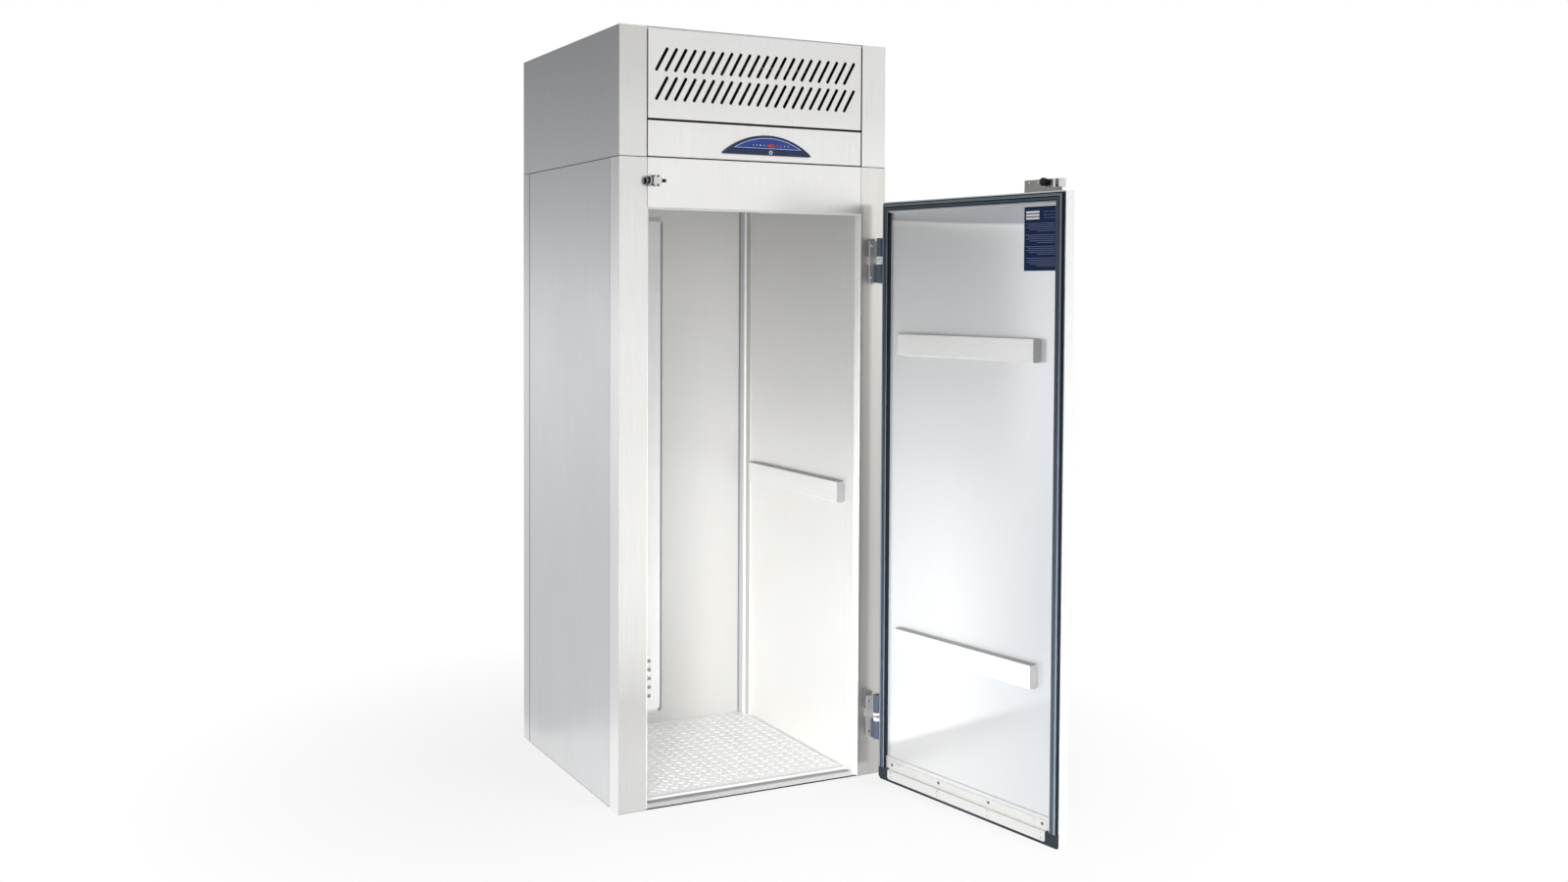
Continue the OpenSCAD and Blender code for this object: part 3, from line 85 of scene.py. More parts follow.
# A point of the shut door, swung and lifted to where the door stands
DOOR = (Matrix.Translation(Vector((*PIVOT, RISE)) * MM)
        @ Matrix.Rotation(radians(OPEN_TURN), 4, "Z")
        @ Matrix.Translation(Vector((-PIVOT[0], -PIVOT[1], 0)) * MM))
UNTURN = DOOR.to_3x3().inverted()

# ---- materials

BRUSHED, ALONG_X, ALONG_Y = (260, 260, 5), (5, 260, 260), (260, 5, 260)  # stretches of the steel's grain
GRAIN = 0.00002  # metres
PAINTED_SHADE_TOP = 2.3  # metres: where the painted shade by height ends


def emptied(owner):
    owner.use_nodes = True
    owner.node_tree.nodes.clear()
    return owner.node_tree


def add(tree, kind, inputs=None, **settings):
    """A new node with its settings, and constants or outputs of other nodes on its inputs."""
    node = tree.nodes.new("ShaderNode" + kind)
    for name, value in settings.items():
        setattr(node, name, value)
    for key, value in (inputs or {}).items():
        socket = node.inputs[key]
        if isinstance(value, bpy.types.NodeSocket):
            tree.links.new(value, socket)
        else:
            socket.default_value = (*value, 1) if socket.type == "RGBA" else value
    return node


def shader(name):
    mat = bpy.data.materials.new(name)
    return mat, emptied(mat)


def surface(mat, base, rough, bumps=(), **more):
    """Ends the material in a principled shader with bumps one upon another: (height, distance in metres)."""
    tree, relief = mat.node_tree, {"Strength": 1}
    for shape, distance in bumps:
        relief.update({"Height": shape, "Distance": distance})
        relief["Normal"] = more["Normal"] = add(tree, "Bump", relief).outputs["Normal"]
    bsdf = add(tree, "BsdfPrincipled", {"Base Color": base, "Roughness": rough, **more})
    add(tree, "OutputMaterial", {"Surface": bsdf.outputs["BSDF"]})
    return mat


def coords(tree, stretch=(1, 1, 1)):
    place = add(tree, "TexCoord").outputs["Object"]
    return add(tree, "Mapping", {"Vector": place, "Scale": stretch}).outputs["Vector"]


def noise(tree, scale, stretch=(1, 1, 1), detail=2.0, rough=0.5):
    return add(tree, "TexNoise", {"Vector": coords(tree, stretch), "Scale": scale, "Detail": detail,
                                  "Roughness": rough}).outputs["Fac"]


def ranged(tree, value, low, high, start=0.3, end=0.7):
    return add(tree, "MapRange", {"Value": value, "From Min": start, "From Max": end,
                                  "To Min": low, "To Max": high}).outputs["Result"]


def maths(tree, kind, a, b):
    return add(tree, "Math", {0: a, 1: b}, operation=kind).outputs[0]


def blend(tree, factor, a, b, kind="MIX"):
    return add(tree, "Mix", {0: factor, 6: a, 7: b}, data_type="RGBA", blend_type=kind).outputs[2]


def ramp(tree, value, stops):
    """Colours or greys between (place, colour or grey) stops."""
    node = add(tree, "ValToRGB", {0: value})
    points = node.color_ramp.elements
    while len(points) < len(stops):
        points.new(0.5)
    for point, (place, shade) in zip(points, stops):
        point.position = place
        point.color = (*shade, 1) if isinstance(shade, tuple) else (shade, shade, shade, 1)
    return node.outputs[0]


def height(tree, top):
    """0 on the ground to 1 at the given height in metres."""
    return ranged(tree, add(tree, "SeparateXYZ", {0: coords(tree)}).outputs["Z"], 0, 1, 0, top)


def tone(colour, k):
    return tuple(min(1.0, c * k) for c in colour)


def varied(tree, value, colour, low, high):
    return blend(tree, ranged(tree, value, 0, 1), tone(colour, low), tone(colour, high))


def steel(name, colour, metallic=0.9, rough=0.34, grain=BRUSHED, wave=0.0, spread=0.03, stains=0.0, painted_shade_by_height=(),
          depth=GRAIN):
    """Brushed sheet: fine stretched grain, slow waves, faint clouding and painted shade that changes by height."""
    mat, tree = shader(name)
    lines, cloud = noise(tree, 1.0, grain, 3, 0.6), noise(tree, 3.2, detail=3, rough=0.55)
    base = varied(tree, lines, colour, 1 - spread, 1 + spread)
    if stains:
        base = blend(tree, ranged(tree, cloud, 0, 1), base, tone((1, 0.995, 0.98), 1 - stains), "MULTIPLY")
    # painted shade: the colour multiplied by greys that change with height
    if painted_shade_by_height:
        shades = ramp(tree, height(tree, PAINTED_SHADE_TOP), [(z / PAINTED_SHADE_TOP, k) for z, k in painted_shade_by_height])
        base = blend(tree, 1, base, shades, "MULTIPLY")
    waves = [(noise(tree, 1.7, detail=0), wave)] if wave else []
    finish = ranged(tree, cloud, rough - 0.02, rough + 0.02, 0.2, 0.8)
    return surface(mat, base, finish, waves + [(lines, depth)], Metallic=metallic)


def door_liner_steel():
    """Satin sheet of the door with painted reflections: a light line below the rim under a darker band, a warmer,
    darker field low down and a cooler, darker tone low towards the free edge.
    """
    mat, tree = shader("door_liner_steel")
    place = add(tree, "SeparateXYZ", {0: coords(tree)}).outputs
    z = maths(tree, "ADD", place["Z"], ranged(tree, noise(tree, 1.4, detail=0), -0.012, 0.012, 0, 1))
    out = ranged(tree, place["Y"], 0, 1, -0.47, -1.17)  # from the hinge side to the free edge
    reflection_curve = maths(tree, "SUBTRACT", z, ranged(tree, out, 1.710, 1.672, 0, 1))
    low = maths(tree, "SUBTRACT", z, ranged(tree, out, 0.10, 0.40, 0, 1))
    painted_dark_band = ranged(tree, reflection_curve, 0, 1, 0.0, 0.006)
    line = maths(tree, "MULTIPLY", ranged(tree, reflection_curve, 0, 1, -0.014, -0.003), maths(tree, "SUBTRACT", 1.0, painted_dark_band))
    painted_cool_tone = maths(tree, "MULTIPLY", ranged(tree, out, 0, 1, 0.45, 0.95), ranged(tree, z, 1, 0, 0.55, 1.25))
    lines = noise(tree, 1.0, BRUSHED, 3, 0.6)
    base = blend(tree, ranged(tree, lines, 0, 1), (0.912, 0.933, 0.958), (0.932, 0.953, 0.978))
    # painted reflections laid over the base colour
    for factor, colour in ((painted_dark_band, (0.44, 0.47, 0.50)), (line, (1.0, 0.995, 0.985)),
                           (ranged(tree, low, 1, 0, -0.012, 0.012), (0.60, 0.60, 0.595)),
                           (painted_cool_tone, (0.58, 0.60, 0.625))):
        base = blend(tree, maths(tree, "MULTIPLY", factor, 0.8), base, colour)
    finish = ranged(tree, noise(tree, 3.2, detail=3, rough=0.55), 0.20, 0.24, 0.2, 0.8)
    return surface(mat, base, finish, [(noise(tree, 0.8, detail=0), 0.015), (lines, GRAIN)], Metallic=0.58)


def plastic(name, colour, rough=0.4, spread=0.06, scale=60.0, grit=GRAIN, metallic=0.0, coat=0.0, shine=0.5):
    """Moulded or painted surface: mottled colour and a fine grain."""
    mat, tree = shader(name)
    mottle = noise(tree, scale, detail=3, rough=0.6)
    return surface(mat, varied(tree, mottle, colour, 1 - spread, 1 + spread),
                   ranged(tree, mottle, rough - 0.03, rough + 0.03), [(noise(tree, scale * 14), grit)],
                   Metallic=metallic, **{"Specular IOR Level": shine, "Coat Weight": coat, "Coat Roughness": 0.08})


def glowing(name, colour, strength):
    """Tinted lens with a little light of its own, brighter in patches."""
    mat, tree = shader(name)
    tint = varied(tree, noise(tree, 350), colour, 0.7, 1.15)
    return surface(mat, tint, 0.25, **{"Emission Color": tint, "Emission Strength": strength,
                                       "Coat Weight": 0.6, "Coat Roughness": 0.05})


def foam_like(name, colour):
    mat, tree = shader(name)
    cells = add(tree, "TexVoronoi", {"Vector": coords(tree), "Scale": 420}).outputs["Distance"]
    shade = ranged(tree, cells, 0, 1, 0, 0.8)
    return surface(mat, blend(tree, shade, tone(colour, 0.8), tone(colour, 1.05)), 0.9, [(cells, 0.0006)])


def finned(name, colour):
    """Close aluminium fins seen edge on, with painted shade between them."""
    mat, tree = shader(name)
    wave = add(tree, "TexWave", {"Vector": coords(tree), "Scale": 72, "Distortion": 0.25},
               wave_type="BANDS", bands_direction="X").outputs["Fac"]
    return surface(mat, blend(tree, wave, tone(colour, 0.12), colour), 0.4, [(wave, 0.0008)], Metallic=0.7)


M = {
    # painted shade: the front darkens towards the top
    "front": steel("front_steel", (0.9, 0.895, 0.885), 0.8, 0.24, stains=0.02,
                   painted_shade_by_height=((0, 0.97), (1.84, 0.97), (1.95, 0.93), (2.04, 0.87), (2.24, 0.85))),
    # a darker copy of the front steel for the left post and flange, with painted light and shade by height
    "front_left": steel("front_steel_left_painted_shade", (0.85, 0.845, 0.83), 0.8, 0.24, stains=0.02,
                        painted_shade_by_height=((0, 0.71), (0.14, 0.7), (0.31, 0.65), (0.47, 0.81), (0.64, 0.9), (0.81, 0.95),
                                (1.31, 0.99), (1.64, 0.95), (1.81, 0.89), (1.97, 0.86), (2.14, 0.76), (2.24, 0.74))),
    # a darker, warmer copy of the front steel for the right post beside the door, with painted shade that deepens low
    # down
    "front_near_painted_shade": steel("front_steel_polished_painted_shade", (0.78, 0.77, 0.74), 0.84, 0.2, (26, 26, 0.4), spread=0.06,
                        depth=0.000002, painted_shade_by_height=((0, 0.6), (0.7, 0.62), (1.1, 0.76), (1.5, 0.92), (1.8, 1))),
    # the door skin's outer face: a darker copy of its steel, with painted shade low down
    "door_face": steel("door_face_steel_painted_shade", (0.8, 0.795, 0.785), 0.8, 0.24, stains=0.02,
                       painted_shade_by_height=((0, 0.72), (0.3, 0.72), (0.9, 0.84), (1.4, 0.94), (1.76, 1))),
    # painted light: a near-white copy of the door steel for the skin's edges
    "door": steel("door_steel_painted_light", (0.96, 0.955, 0.95), 0.35, 0.24, stains=0.01),
    "clamp": steel("clamp_steel", (0.66, 0.655, 0.64), 0.6, 0.36, ALONG_X),
    "sill": steel("sill_steel", (0.8, 0.8, 0.8), 0.6, 0.34, ALONG_X),
    # painted shade in the sill's gutter
    "gutter": steel("gutter_steel_painted_shade", (0.3, 0.305, 0.31), 0.7, 0.34, ALONG_X),
    # dark joints, and painted shadow and shade at the feet, the sill's front edge, the housing's inner faces and the
    # keyway's floor
    "seam": plastic("seam_dark_and_painted_shade", (0.012, 0.012, 0.013), 0.6, 0.2, shine=0.1),
    "joint": plastic("joint_grey", (0.17, 0.17, 0.175), 0.5, 0.1, shine=0.2),
    # painted shade: black on the slots' rims, the louvred panel's returns and the grille's inner face
    "inside": plastic("inside_painted_shade", (0.006, 0.006, 0.006), 0.7, 0.2, 40, shine=0.1),
    "side": steel("side_steel", (0.78, 0.79, 0.8), 0.92, 0.33, wave=0.0012, stains=0.03),
    # painted shade on the upper walls
    "inner": steel("inner_steel", (0.91, 0.907, 0.895), 0.42, 0.36, wave=0.001, spread=0.012, stains=0.01,
                   painted_shade_by_height=((0, 1), (0.9, 1), (1.2, 0.88), (1.8, 0.88))),
    # painted shade low down on the rear wall
    "rear": steel("rear_wall_steel", (0.86, 0.857, 0.843), 0.42, 0.36, wave=0.001, spread=0.012, stains=0.01,
                  painted_shade_by_height=((0, 0.74), (0.3, 0.76), (0.7, 0.84), (1.2, 0.88), (1.6, 0.97), (2.2, 1))),
    "floor": steel("floor_steel", (0.94, 0.94, 0.935), 0.15, 0.38, (120, 120, 120), spread=0.02),
    # painted highlight on the raised treads
    "tread": plastic("tread_bright_painted_highlight", (0.97, 0.97, 0.965), 0.34, 0.02),
    "liner": door_liner_steel(),
    # painted shade on the door pan's wall by the hinges
    "step_dark": plastic("step_dark", (0.01, 0.011, 0.013), 0.4, 0.1, shine=0.15),
    "strip": steel("strip_steel", (0.97, 0.975, 0.98), 0.95, 0.32, stains=0.01),
    # painted light: a near-white copy to offset the shade the duct stands in
    "duct": steel("duct_steel_painted_light", (0.97, 0.98, 0.985), 0.12, 0.36, wave=0.001, spread=0.015),
    "rail": steel("rail_steel", (0.94, 0.94, 0.935), 0.4, 0.34, ALONG_Y),
    # painted shade along the rails' upper edges
    "rail_top": steel("rail_top", (0.34, 0.34, 0.34), 0.5, 0.4, ALONG_Y),
    # pale print on the door plate, and painted highlights on rails, trim beads, the duct's top and the door pan's top
    # wall
    "rail_foot": plastic("rail_foot", (0.95, 0.95, 0.94), 0.4, 0.02),
    "rail_end": plastic("rail_end_grey", (0.33, 0.33, 0.33), 0.42),
    "foam": foam_like("insulation_foam", (0.82, 0.72, 0.45)),
    # painted shade low on the opening trim's left side
    "trim_left": steel("trim_left", (0.94, 0.94, 0.935), 0.4, painted_shade_by_height=((0, 0.66), (0.5, 0.72), (1.2, 1))),
    "trim_white": plastic("trim_white", (0.9, 0.905, 0.91), 0.34, 0.02, 30, coat=0.3),
    # painted shade across the corner trims and on the duct's side
    "trim_warm": steel("trim_warm", (0.6, 0.59, 0.56), 0.5),
    "trim_cool": steel("trim_cool", (0.6, 0.62, 0.64), 0.5),
    "trim_dark": steel("trim_dark", (0.34, 0.35, 0.37), 0.5),
    "catch": plastic("catch_white", (0.84, 0.84, 0.83), 0.34, 0.03, 90),
    # near-black drum, partly a painted shadow of the catch
    "drum": plastic("drum_dark_and_painted_shadow", (0.018, 0.019, 0.021), 0.5, 0.15, 140, shine=0.12),
    "bright": steel("bright_metal", (0.66, 0.66, 0.67), 1, 0.14, (900, 900, 60)),
    "bracket": steel("bracket_steel", (0.27, 0.27, 0.265), 0.95, 0.32, (30, 30, 700), spread=0.12),
    "hinge": plastic("hinge_blue_grey", (0.085, 0.105, 0.15), 0.42, 0.12, 120, metallic=0.35),
    # painted shade low down, darker on the lower hinge
    "hinge_light": steel("hinge_leaf_light", (0.5, 0.5, 0.5), 0.6, 0.36, painted_shade_by_height=((0, 0.8), (1, 1))),
    "black": plastic("black_plastic", (0.01, 0.01, 0.012), 0.38, 0.2, 140, shine=0.2),
    "dark_metal": steel("dark_metal", (0.16, 0.165, 0.175), 0.85, 0.4),
    "seal": plastic("seal_rubber", (0.058, 0.078, 0.102), 0.5, 0.07, 35, shine=0.3),
    # painted light, shade and highlight across the seal's profile
    "seal_light": plastic("seal_rubber_painted_light", (0.15, 0.19, 0.23), 0.45, 0.07, 35, shine=0.3),
    "seal_dark": plastic("seal_rubber_painted_shade", (0.01, 0.013, 0.017), 0.55, 0.15, 35, shine=0.12),
    "seal_pale": plastic("seal_rubber_painted_highlight", (0.6, 0.62, 0.64), 0.45, 0.04, 35),
    "rubber": plastic("black_rubber", (0.018, 0.023, 0.028), 0.6, 0.2, grit=0.00004, shine=0.25),
    "handle": steel("handle_steel", (0.74, 0.74, 0.74), 0.95, 0.24),
    "navy": plastic("bezel_navy", (0.003, 0.014, 0.07), 0.4, 0.15, 50),
    "blue": plastic("face_blue", (0.016, 0.05, 0.26), 0.45, 0.1),
    "plate_blue": plastic("plate_blue", (0.003, 0.016, 0.072), 0.6, 0.2, 25, shine=0.2),
    "rule": plastic("rule_print", (0.14, 0.18, 0.3), 0.5, 0.05, shine=0.3),
    "pale": plastic("pale_print", (0.74, 0.78, 0.9), 0.4, 0.05),
    "red": glowing("red_window", (0.42, 0.01, 0.015), 0.12),
    "red_lamp": glowing("red_lamp", (0.7, 0.05, 0.03), 0.2),
    "green_lamp": glowing("green_lamp", (0.3, 0.55, 0.42), 0.1),
    "grey_lamp": glowing("grey_lamp", (0.42, 0.46, 0.6), 0.05),
    "button": plastic("button_blue", (0.022, 0.06, 0.28), 0.35, 0.08, 90),
    "fin": finned("fin_metal", (0.72, 0.72, 0.72)),
    "fin_black_painted_shade": finned("fin_black_painted_shade", (0.03, 0.03, 0.032)),
    "grey_metal": steel("grey_metal", (0.42, 0.43, 0.44), 0.8, 0.42),
    "copper": steel("copper_pipe", (0.72, 0.36, 0.22), 1, 0.31, spread=0.08, stains=0.2),
    "box": plastic("box_grey", (0.45, 0.46, 0.47), 0.45, 0.05, 50),
}

# ---- mesh helpers


def mesh_of(bm, name="temp"):
    mesh = bpy.data.meshes.new(name)
    bm.to_mesh(mesh)
    bm.free()
    return mesh


def bm_of(mesh):
    bm = bmesh.new()
    bm.from_mesh(mesh)
    return bm


def linked(name, data):
    obj = bpy.data.objects.new(name, data)
    bpy.context.scene.collection.objects.link(obj)
    return obj


def evaluated(obj):
    return bpy.data.meshes.new_from_object(obj.evaluated_get(bpy.context.evaluated_depsgraph_get()))


def show(node, bm, mats, smooth=32, matrix=None):
    """The piece that stands for a CAD node; mats are keys of M in the order of the faces' numbers."""
    bmesh.ops.recalc_face_normals(bm, faces=bm.faces)
    bmesh.ops.dissolve_degenerate(bm, dist=WELD, edges=bm.edges[:])
    mesh = mesh_of(bm, node + "_look")
    for key in mats.split():
        mesh.materials.append(M[key])
    for p in mesh.polygons:
        p.use_smooth = True
    mesh.set_sharp_from_angle(angle=radians(smooth))
    if matrix is not None:
        mesh.transform(matrix)
    obj = linked(mesh.name, mesh)
    obj.modifiers.new("normals", "WEIGHTED_NORMAL").keep_sharp = True
    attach(obj, BODY[node])
    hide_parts(node)


def joined(parts):
    """One bmesh of several, with each part's material number on its faces; None keeps theirs."""
    whole = bmesh.new()
    for part, number in parts:
        if number is not None:
            for f in part.faces:
                f.material_index = number
        temp = mesh_of(part)
        whole.from_mesh(temp)
        bpy.data.meshes.remove(temp)
    return whole


def painted(bm, paint):
    """Numbers the faces by paint(centre in millimetres, normal)."""
    bm.normal_update()
    for f in bm.faces:
        f.material_index = paint(f.calc_center_median() / MM, f.normal)
    return bm


def moved(bm, matrix):
    bmesh.ops.transform(bm, matrix=matrix, verts=bm.verts)
    if matrix.determinant() < 0:
        bmesh.ops.reverse_faces(bm, faces=bm.faces)
    return bm


def at(x, y, z):
    return Matrix.Translation(Vector((x, y, z)) * MM)


def spin(angle, axis="Z"):
    return Matrix.Rotation(angle, 4, axis)


TO_FRONT = spin(pi / 2, "X")  # +Z becomes -Y
TO_REAR = spin(-pi / 2, "X")  # +Z becomes +Y
TO_RIGHT = spin(pi / 2, "Y")  # +Z becomes +X


def middle(edge):
    return (edge.verts[0].co + edge.verts[1].co) / (2 * MM)


def block(lo, hi, edge=0.0, segments=2, pick=None):
    """A block with rounded edges, in millimetres; pick chooses edges by their middles."""
    bm = bmesh.new()
    bmesh.ops.create_cube(bm, size=1)
    lo, hi = Vector(lo) * MM, Vector(hi) * MM
    for v in bm.verts:
        v.co = Vector([lo[i] + (v.co[i] + 0.5) * (hi[i] - lo[i]) for i in range(3)])
    if edge:
        edges = [e for e in bm.edges if pick is None or pick(middle(e))]
        bmesh.ops.bevel(bm, geom=edges, offset=edge * MM, segments=segments, profile=0.5, affect="EDGES")
    return bm


def skin(rings, bored=False):
    """A closed mesh through rings of points in millimetres; bored joins the last ring to the first."""
    bm = bmesh.new()
    rings = [[bm.verts.new(Vector(p) * MM) for p in ring] for ring in rings]
    for a, b in zip(rings, rings[1:] + (rings[:1] if bored else [])):
        for i in range(max(len(a), len(b))):
            j = i + 1
            corners = dict.fromkeys((a[i % len(a)], a[j % len(a)], b[j % len(b)], b[i % len(b)]))
            if len(corners) > 2:
                bm.faces.new(list(corners))
    for ring in (rings[0][::-1], rings[-1]):
        if len(ring) > 1 and not bored:
            bm.faces.new(ring)
    return bm


def lathe(profile, count=32, bored=False, wave=lambda a, r: 1):
    """Turns (radius, height) points about Z, in millimetres; wave scales the radius, bored closes the profile."""
    rings = []
    for r, z in profile:
        turns = [2 * pi * i / count for i in range(count if r else 1)]
        rings.append([(r * wave(a, r) * cos(a), r * wave(a, r) * sin(a), z) for a in turns])
    return skin(rings, bored)


def arc(cx, cy, r, start, stop, steps=6):
    angles = [radians(start + (stop - start) * i / steps) for i in range(steps + 1)]
    return [(cx + r * cos(a), cy + r * sin(a)) for a in angles]


def circle(cx, cy, d, count=28):
    return arc(cx, cy, d / 2, 0, 360, count)[:-1]


def plate(outlines, thickness, edge, steps=2):
    """A flat sheet with holes and rounded rims from outlines in X and Y: the first is the outside."""
    curve = bpy.data.curves.new("temp", "CURVE")
    curve.dimensions, curve.fill_mode = "2D", "BOTH"
    curve.extrude = (thickness / 2 - edge) * MM
    curve.bevel_depth = edge * MM
    curve.bevel_resolution = steps
    curve.offset = -edge * MM
    for n, points in enumerate(outlines):
        area = sum(a[0] * b[1] - b[0] * a[1] for a, b in zip(points, points[1:] + points[:1]))
        if (area > 0) != (n == 0):
            points = points[::-1]
        spline = curve.splines.new("POLY")
        spline.points.add(len(points) - 1)
        for p, (x, y) in zip(spline.points, points):
            p.co = (x * MM, y * MM, 0, 1)
        spline.use_cyclic_u = True
    obj = linked("temp", curve)
    mesh = evaluated(obj)
    bpy.data.objects.remove(obj)
    bpy.data.curves.remove(curve)
    bm = bm_of(mesh)
    bpy.data.meshes.remove(mesh)
    bmesh.ops.remove_doubles(bm, verts=bm.verts, dist=WELD / 2)
    return bm


def soften(bm, rules):
    """Rounds the edges that each rule picks: (width, segments, test)."""
    for width, segments, test in rules:
        edges = []
        for e in bm.edges:
            if len(e.link_faces) == 2 and e.calc_face_angle(0) >= 0.5:
                along = (e.verts[1].co - e.verts[0].co).normalized()
                if test(middle(e), along, e):
                    edges.append(e)
        if edges:
            bmesh.ops.bevel(bm, geom=edges, offset=width * MM, segments=segments, profile=0.5, affect="EDGES",
                            clamp_overlap=True)
    return bm


def cad_copy(node, rules=()):
    """A CAD node's mesh with flat faces whole again and chosen edges rounded."""
    bm = bm_of(frame["nodes"][node].data)
    bmesh.ops.remove_doubles(bm, verts=bm.verts, dist=WELD)
    bmesh.ops.dissolve_limit(bm, angle_limit=radians(1), verts=bm.verts, edges=bm.edges)
    bmesh.ops.recalc_face_normals(bm, faces=bm.faces)
    return soften(bm, rules)


def bisect(bm, point, normal, **options):
    return bmesh.ops.bisect_plane(bm, geom=bm.verts[:] + bm.edges[:] + bm.faces[:], plane_co=Vector(point) * MM,
                                  plane_no=normal, **options)


def dress(node, mats, rules=(), paint=None, smooth=32, cut=None):
    """A CAD node's own form with softened edges; a cut on an axis parts faces for the paint."""
    bm = cad_copy(node, rules)
    if cut:
        bisect(bm, cut, Vector(cut).normalized())
    if paint:
        painted(bm, paint)
    show(node, bm, mats, smooth)


def shut(point):
    """Where a point of the standing door lies with the door shut, in millimetres."""
    return (DOOR.inverted() @ (Vector(point) * MM)) / MM


def near(a, b, tol=0.05):
    return abs(a - b) < tol


def longer(metres):
    return lambda mid, along, e: e.calc_length() > metres


# ---- cabinet shell


def upright(x, y=None, tol=0.05):
    """A test for upright edges x from the middle plane, and at y where it is given."""
    return lambda m, a, e: abs(a.z) > 0.9 and near(abs(m.x), x, tol) and (y is None or near(m.y, y))


def at_joint(mid, along, e):
    """The outer edges along the joint between cabinet and housing."""
    outside = mid.y < FRONT + 1.6 or abs(mid.x) > RIGHT - 1.7
    return outside and abs(along.z) < 0.1 and abs(mid.z - CABINET) < 1.2


def at_foot(mid, along, e):
    """The outer edges on the ground."""
    outside = mid.y < FRONT + 0.6 or abs(mid.x) > RIGHT - 0.6
    return outside and abs(along.z) < 0.1 and mid.z < 0.6


# the rounded edges on the ground carry a painted contact shadow
JOINT_EDGE, FOOT_EDGE = (1.0, 1, at_joint), (1.4, 1, at_foot)


def joint_paint(centre, normal):
    return 1 if abs(centre.z - CABINET) < 1.9 and abs(normal.z) > 0.3 else 0


def post_paint(centre, normal):
    """Front 0, joints and a painted contact shadow at the foot 1, outer side 2, inner return 3."""
    if joint_paint(centre, normal) or centre.z < 2 and abs(normal.z) > 0.3:
        return 1
    if abs(normal.x) > 0.9:
        return 2 if abs(centre.x) > RIGHT - 0.5 else (3 if centre.y > FRONT + 4 else 0)
    return 0


def rear_paint(centre, normal):
    """Sheet 0, painted contact shadow at the foot 1, the legs' inner edges 2."""
    if centre.z < 2 and abs(normal.z) > 0.3:
        return 1
    return 2 if centre.y < LEG_Y + 4 and abs(normal.x) > 0.9 and abs(centre.x) > RIGHT - 0.5 else 0


for node, metal in (("left_front_post", "front_left"), ("right_front_post", "front_near_painted_shade")):
    dress(node, metal + " seam strip inner",
          [JOINT_EDGE, FOOT_EDGE, (2.6, 4, lambda *edge: any(upright(x, FRONT)(*edge) for x in (RIGHT, OPEN_R)))],
          post_paint)
dress("header_panel", "front seam joint",
      [JOINT_EDGE, (2.6, 4, lambda m, a, e: near(m.y, FRONT) and near(m.z, OPEN_Z)),
       (0.6, 1, lambda m, a, e: near(m.y, FRONT) and abs(a.z) > 0.9)],
      lambda c, n: joint_paint(c, n) or (2 if abs(n.x) > 0.3 else 0))
# side panels: joints 1, and a painted contact shadow on the foot's rounded edge 2
for node in ("left_side_panel", "right_side_panel"):
    dress(node, "side joint seam",
          [FOOT_EDGE, (1.0, 1, lambda m, a, e: near(abs(m.x), RIGHT) and m.z > 1)],
          lambda c, n: (2 if c.z < 2 else 1) if 0.3 < abs(n.x) < 0.95 else 0)
dress("rear_panel", "side seam joint",
      [FOOT_EDGE, (2.6, 4, upright(RIGHT, REAR))], rear_paint, cut=(0, LEG_Y + 4, 0))
# dark metal on the roof deck: painted shade inside the housing
dress("roof_deck", "dark_metal")
dress("cabinet_insulation", "foam")
for node, metal in (("side_liners", "inner"), ("rear_liner", "rear"), ("ceiling_liner", "inner")):
    dress(node, metal)
# the trim's left side is darker low down: painted shade
dress("opening_trim", "trim_white trim_left", [(0.9, 3, lambda m, a, e: m.y > FRONT + 20)],
      lambda c, n: 1 if c.x < OPEN_L + 5 and n.x < 0.9 else 0, 50)


def trim_paint(centre, normal):
    """Painted light and shade across a corner trim, from the side wall: edge, flat, bead with a painted highlight,
    flat, edge.
    """
    bead_x, bead_y, bead_r, flat_end, edge = 14, 25, 4.9, 22.8, 45.5
    across, out = OPEN_R - abs(centre.x), LOAD_Y - centre.y
    if math.hypot(across - bead_x, out - bead_y) < bead_r and abs(normal.z) < 0.5:
        return 1
    if out > edge:
        return 0
    if across < bead_x:
        return 2
    return 3 if across < flat_end else 4


dress("corner_trims", "inner rail_foot trim_warm trim_cool trim_dark",
      [(0.8, 2, lambda m, a, e: abs(a.z) > 0.9 and e.calc_face_angle(0) > 0.6)], trim_paint, 50)


def duct_face(mid, along, e):
    """The edges round the duct's flat face."""
    on_side = near(mid.x, DUCT_R - DUCT_SLOPE, 0.5) or near(mid.x, DUCT_L + DUCT_SLOPE, 0.5)
    on_end = near(mid.z, DUCT_LOW + DUCT_SLOPE, 0.5) or near(mid.z, DUCT_TOP - DUCT_SLOPE, 0.5)
    return near(mid.y, LOAD_Y - DUCT_OUT, 0.2) and e.calc_face_angle(0) < 1.3 and (on_side or on_end)


# painted highlight on the top faces, painted shade on the faces towards +X
dress("air_duct", "duct rail_foot trim_dark",
      [(12, 5, lambda m, a, e: min(abs(a.x), abs(a.y), abs(a.z)) > 0.2), (2.0, 3, duct_face)],
      lambda c, n: 1 if n.z > 0.3 else (2 if n.x > 0.3 else 0), 40)


def sill_paint(centre, normal):
    """From the front: edge with a painted shadow 1, ledge 0, gutter with painted shade 2, lip 0."""
    back, edge, gutter, lip = centre.y - FRONT, 3, 40.5, 71.5
    if back < edge and normal.y < -0.4:
        return 1
    return 2 if gutter <= back < lip else 0


dress("sill", "sill seam gutter", [(0.4, 1, lambda m, a, e: abs(a.x) > 0.9)], sill_paint)

# ---- floor of the load space


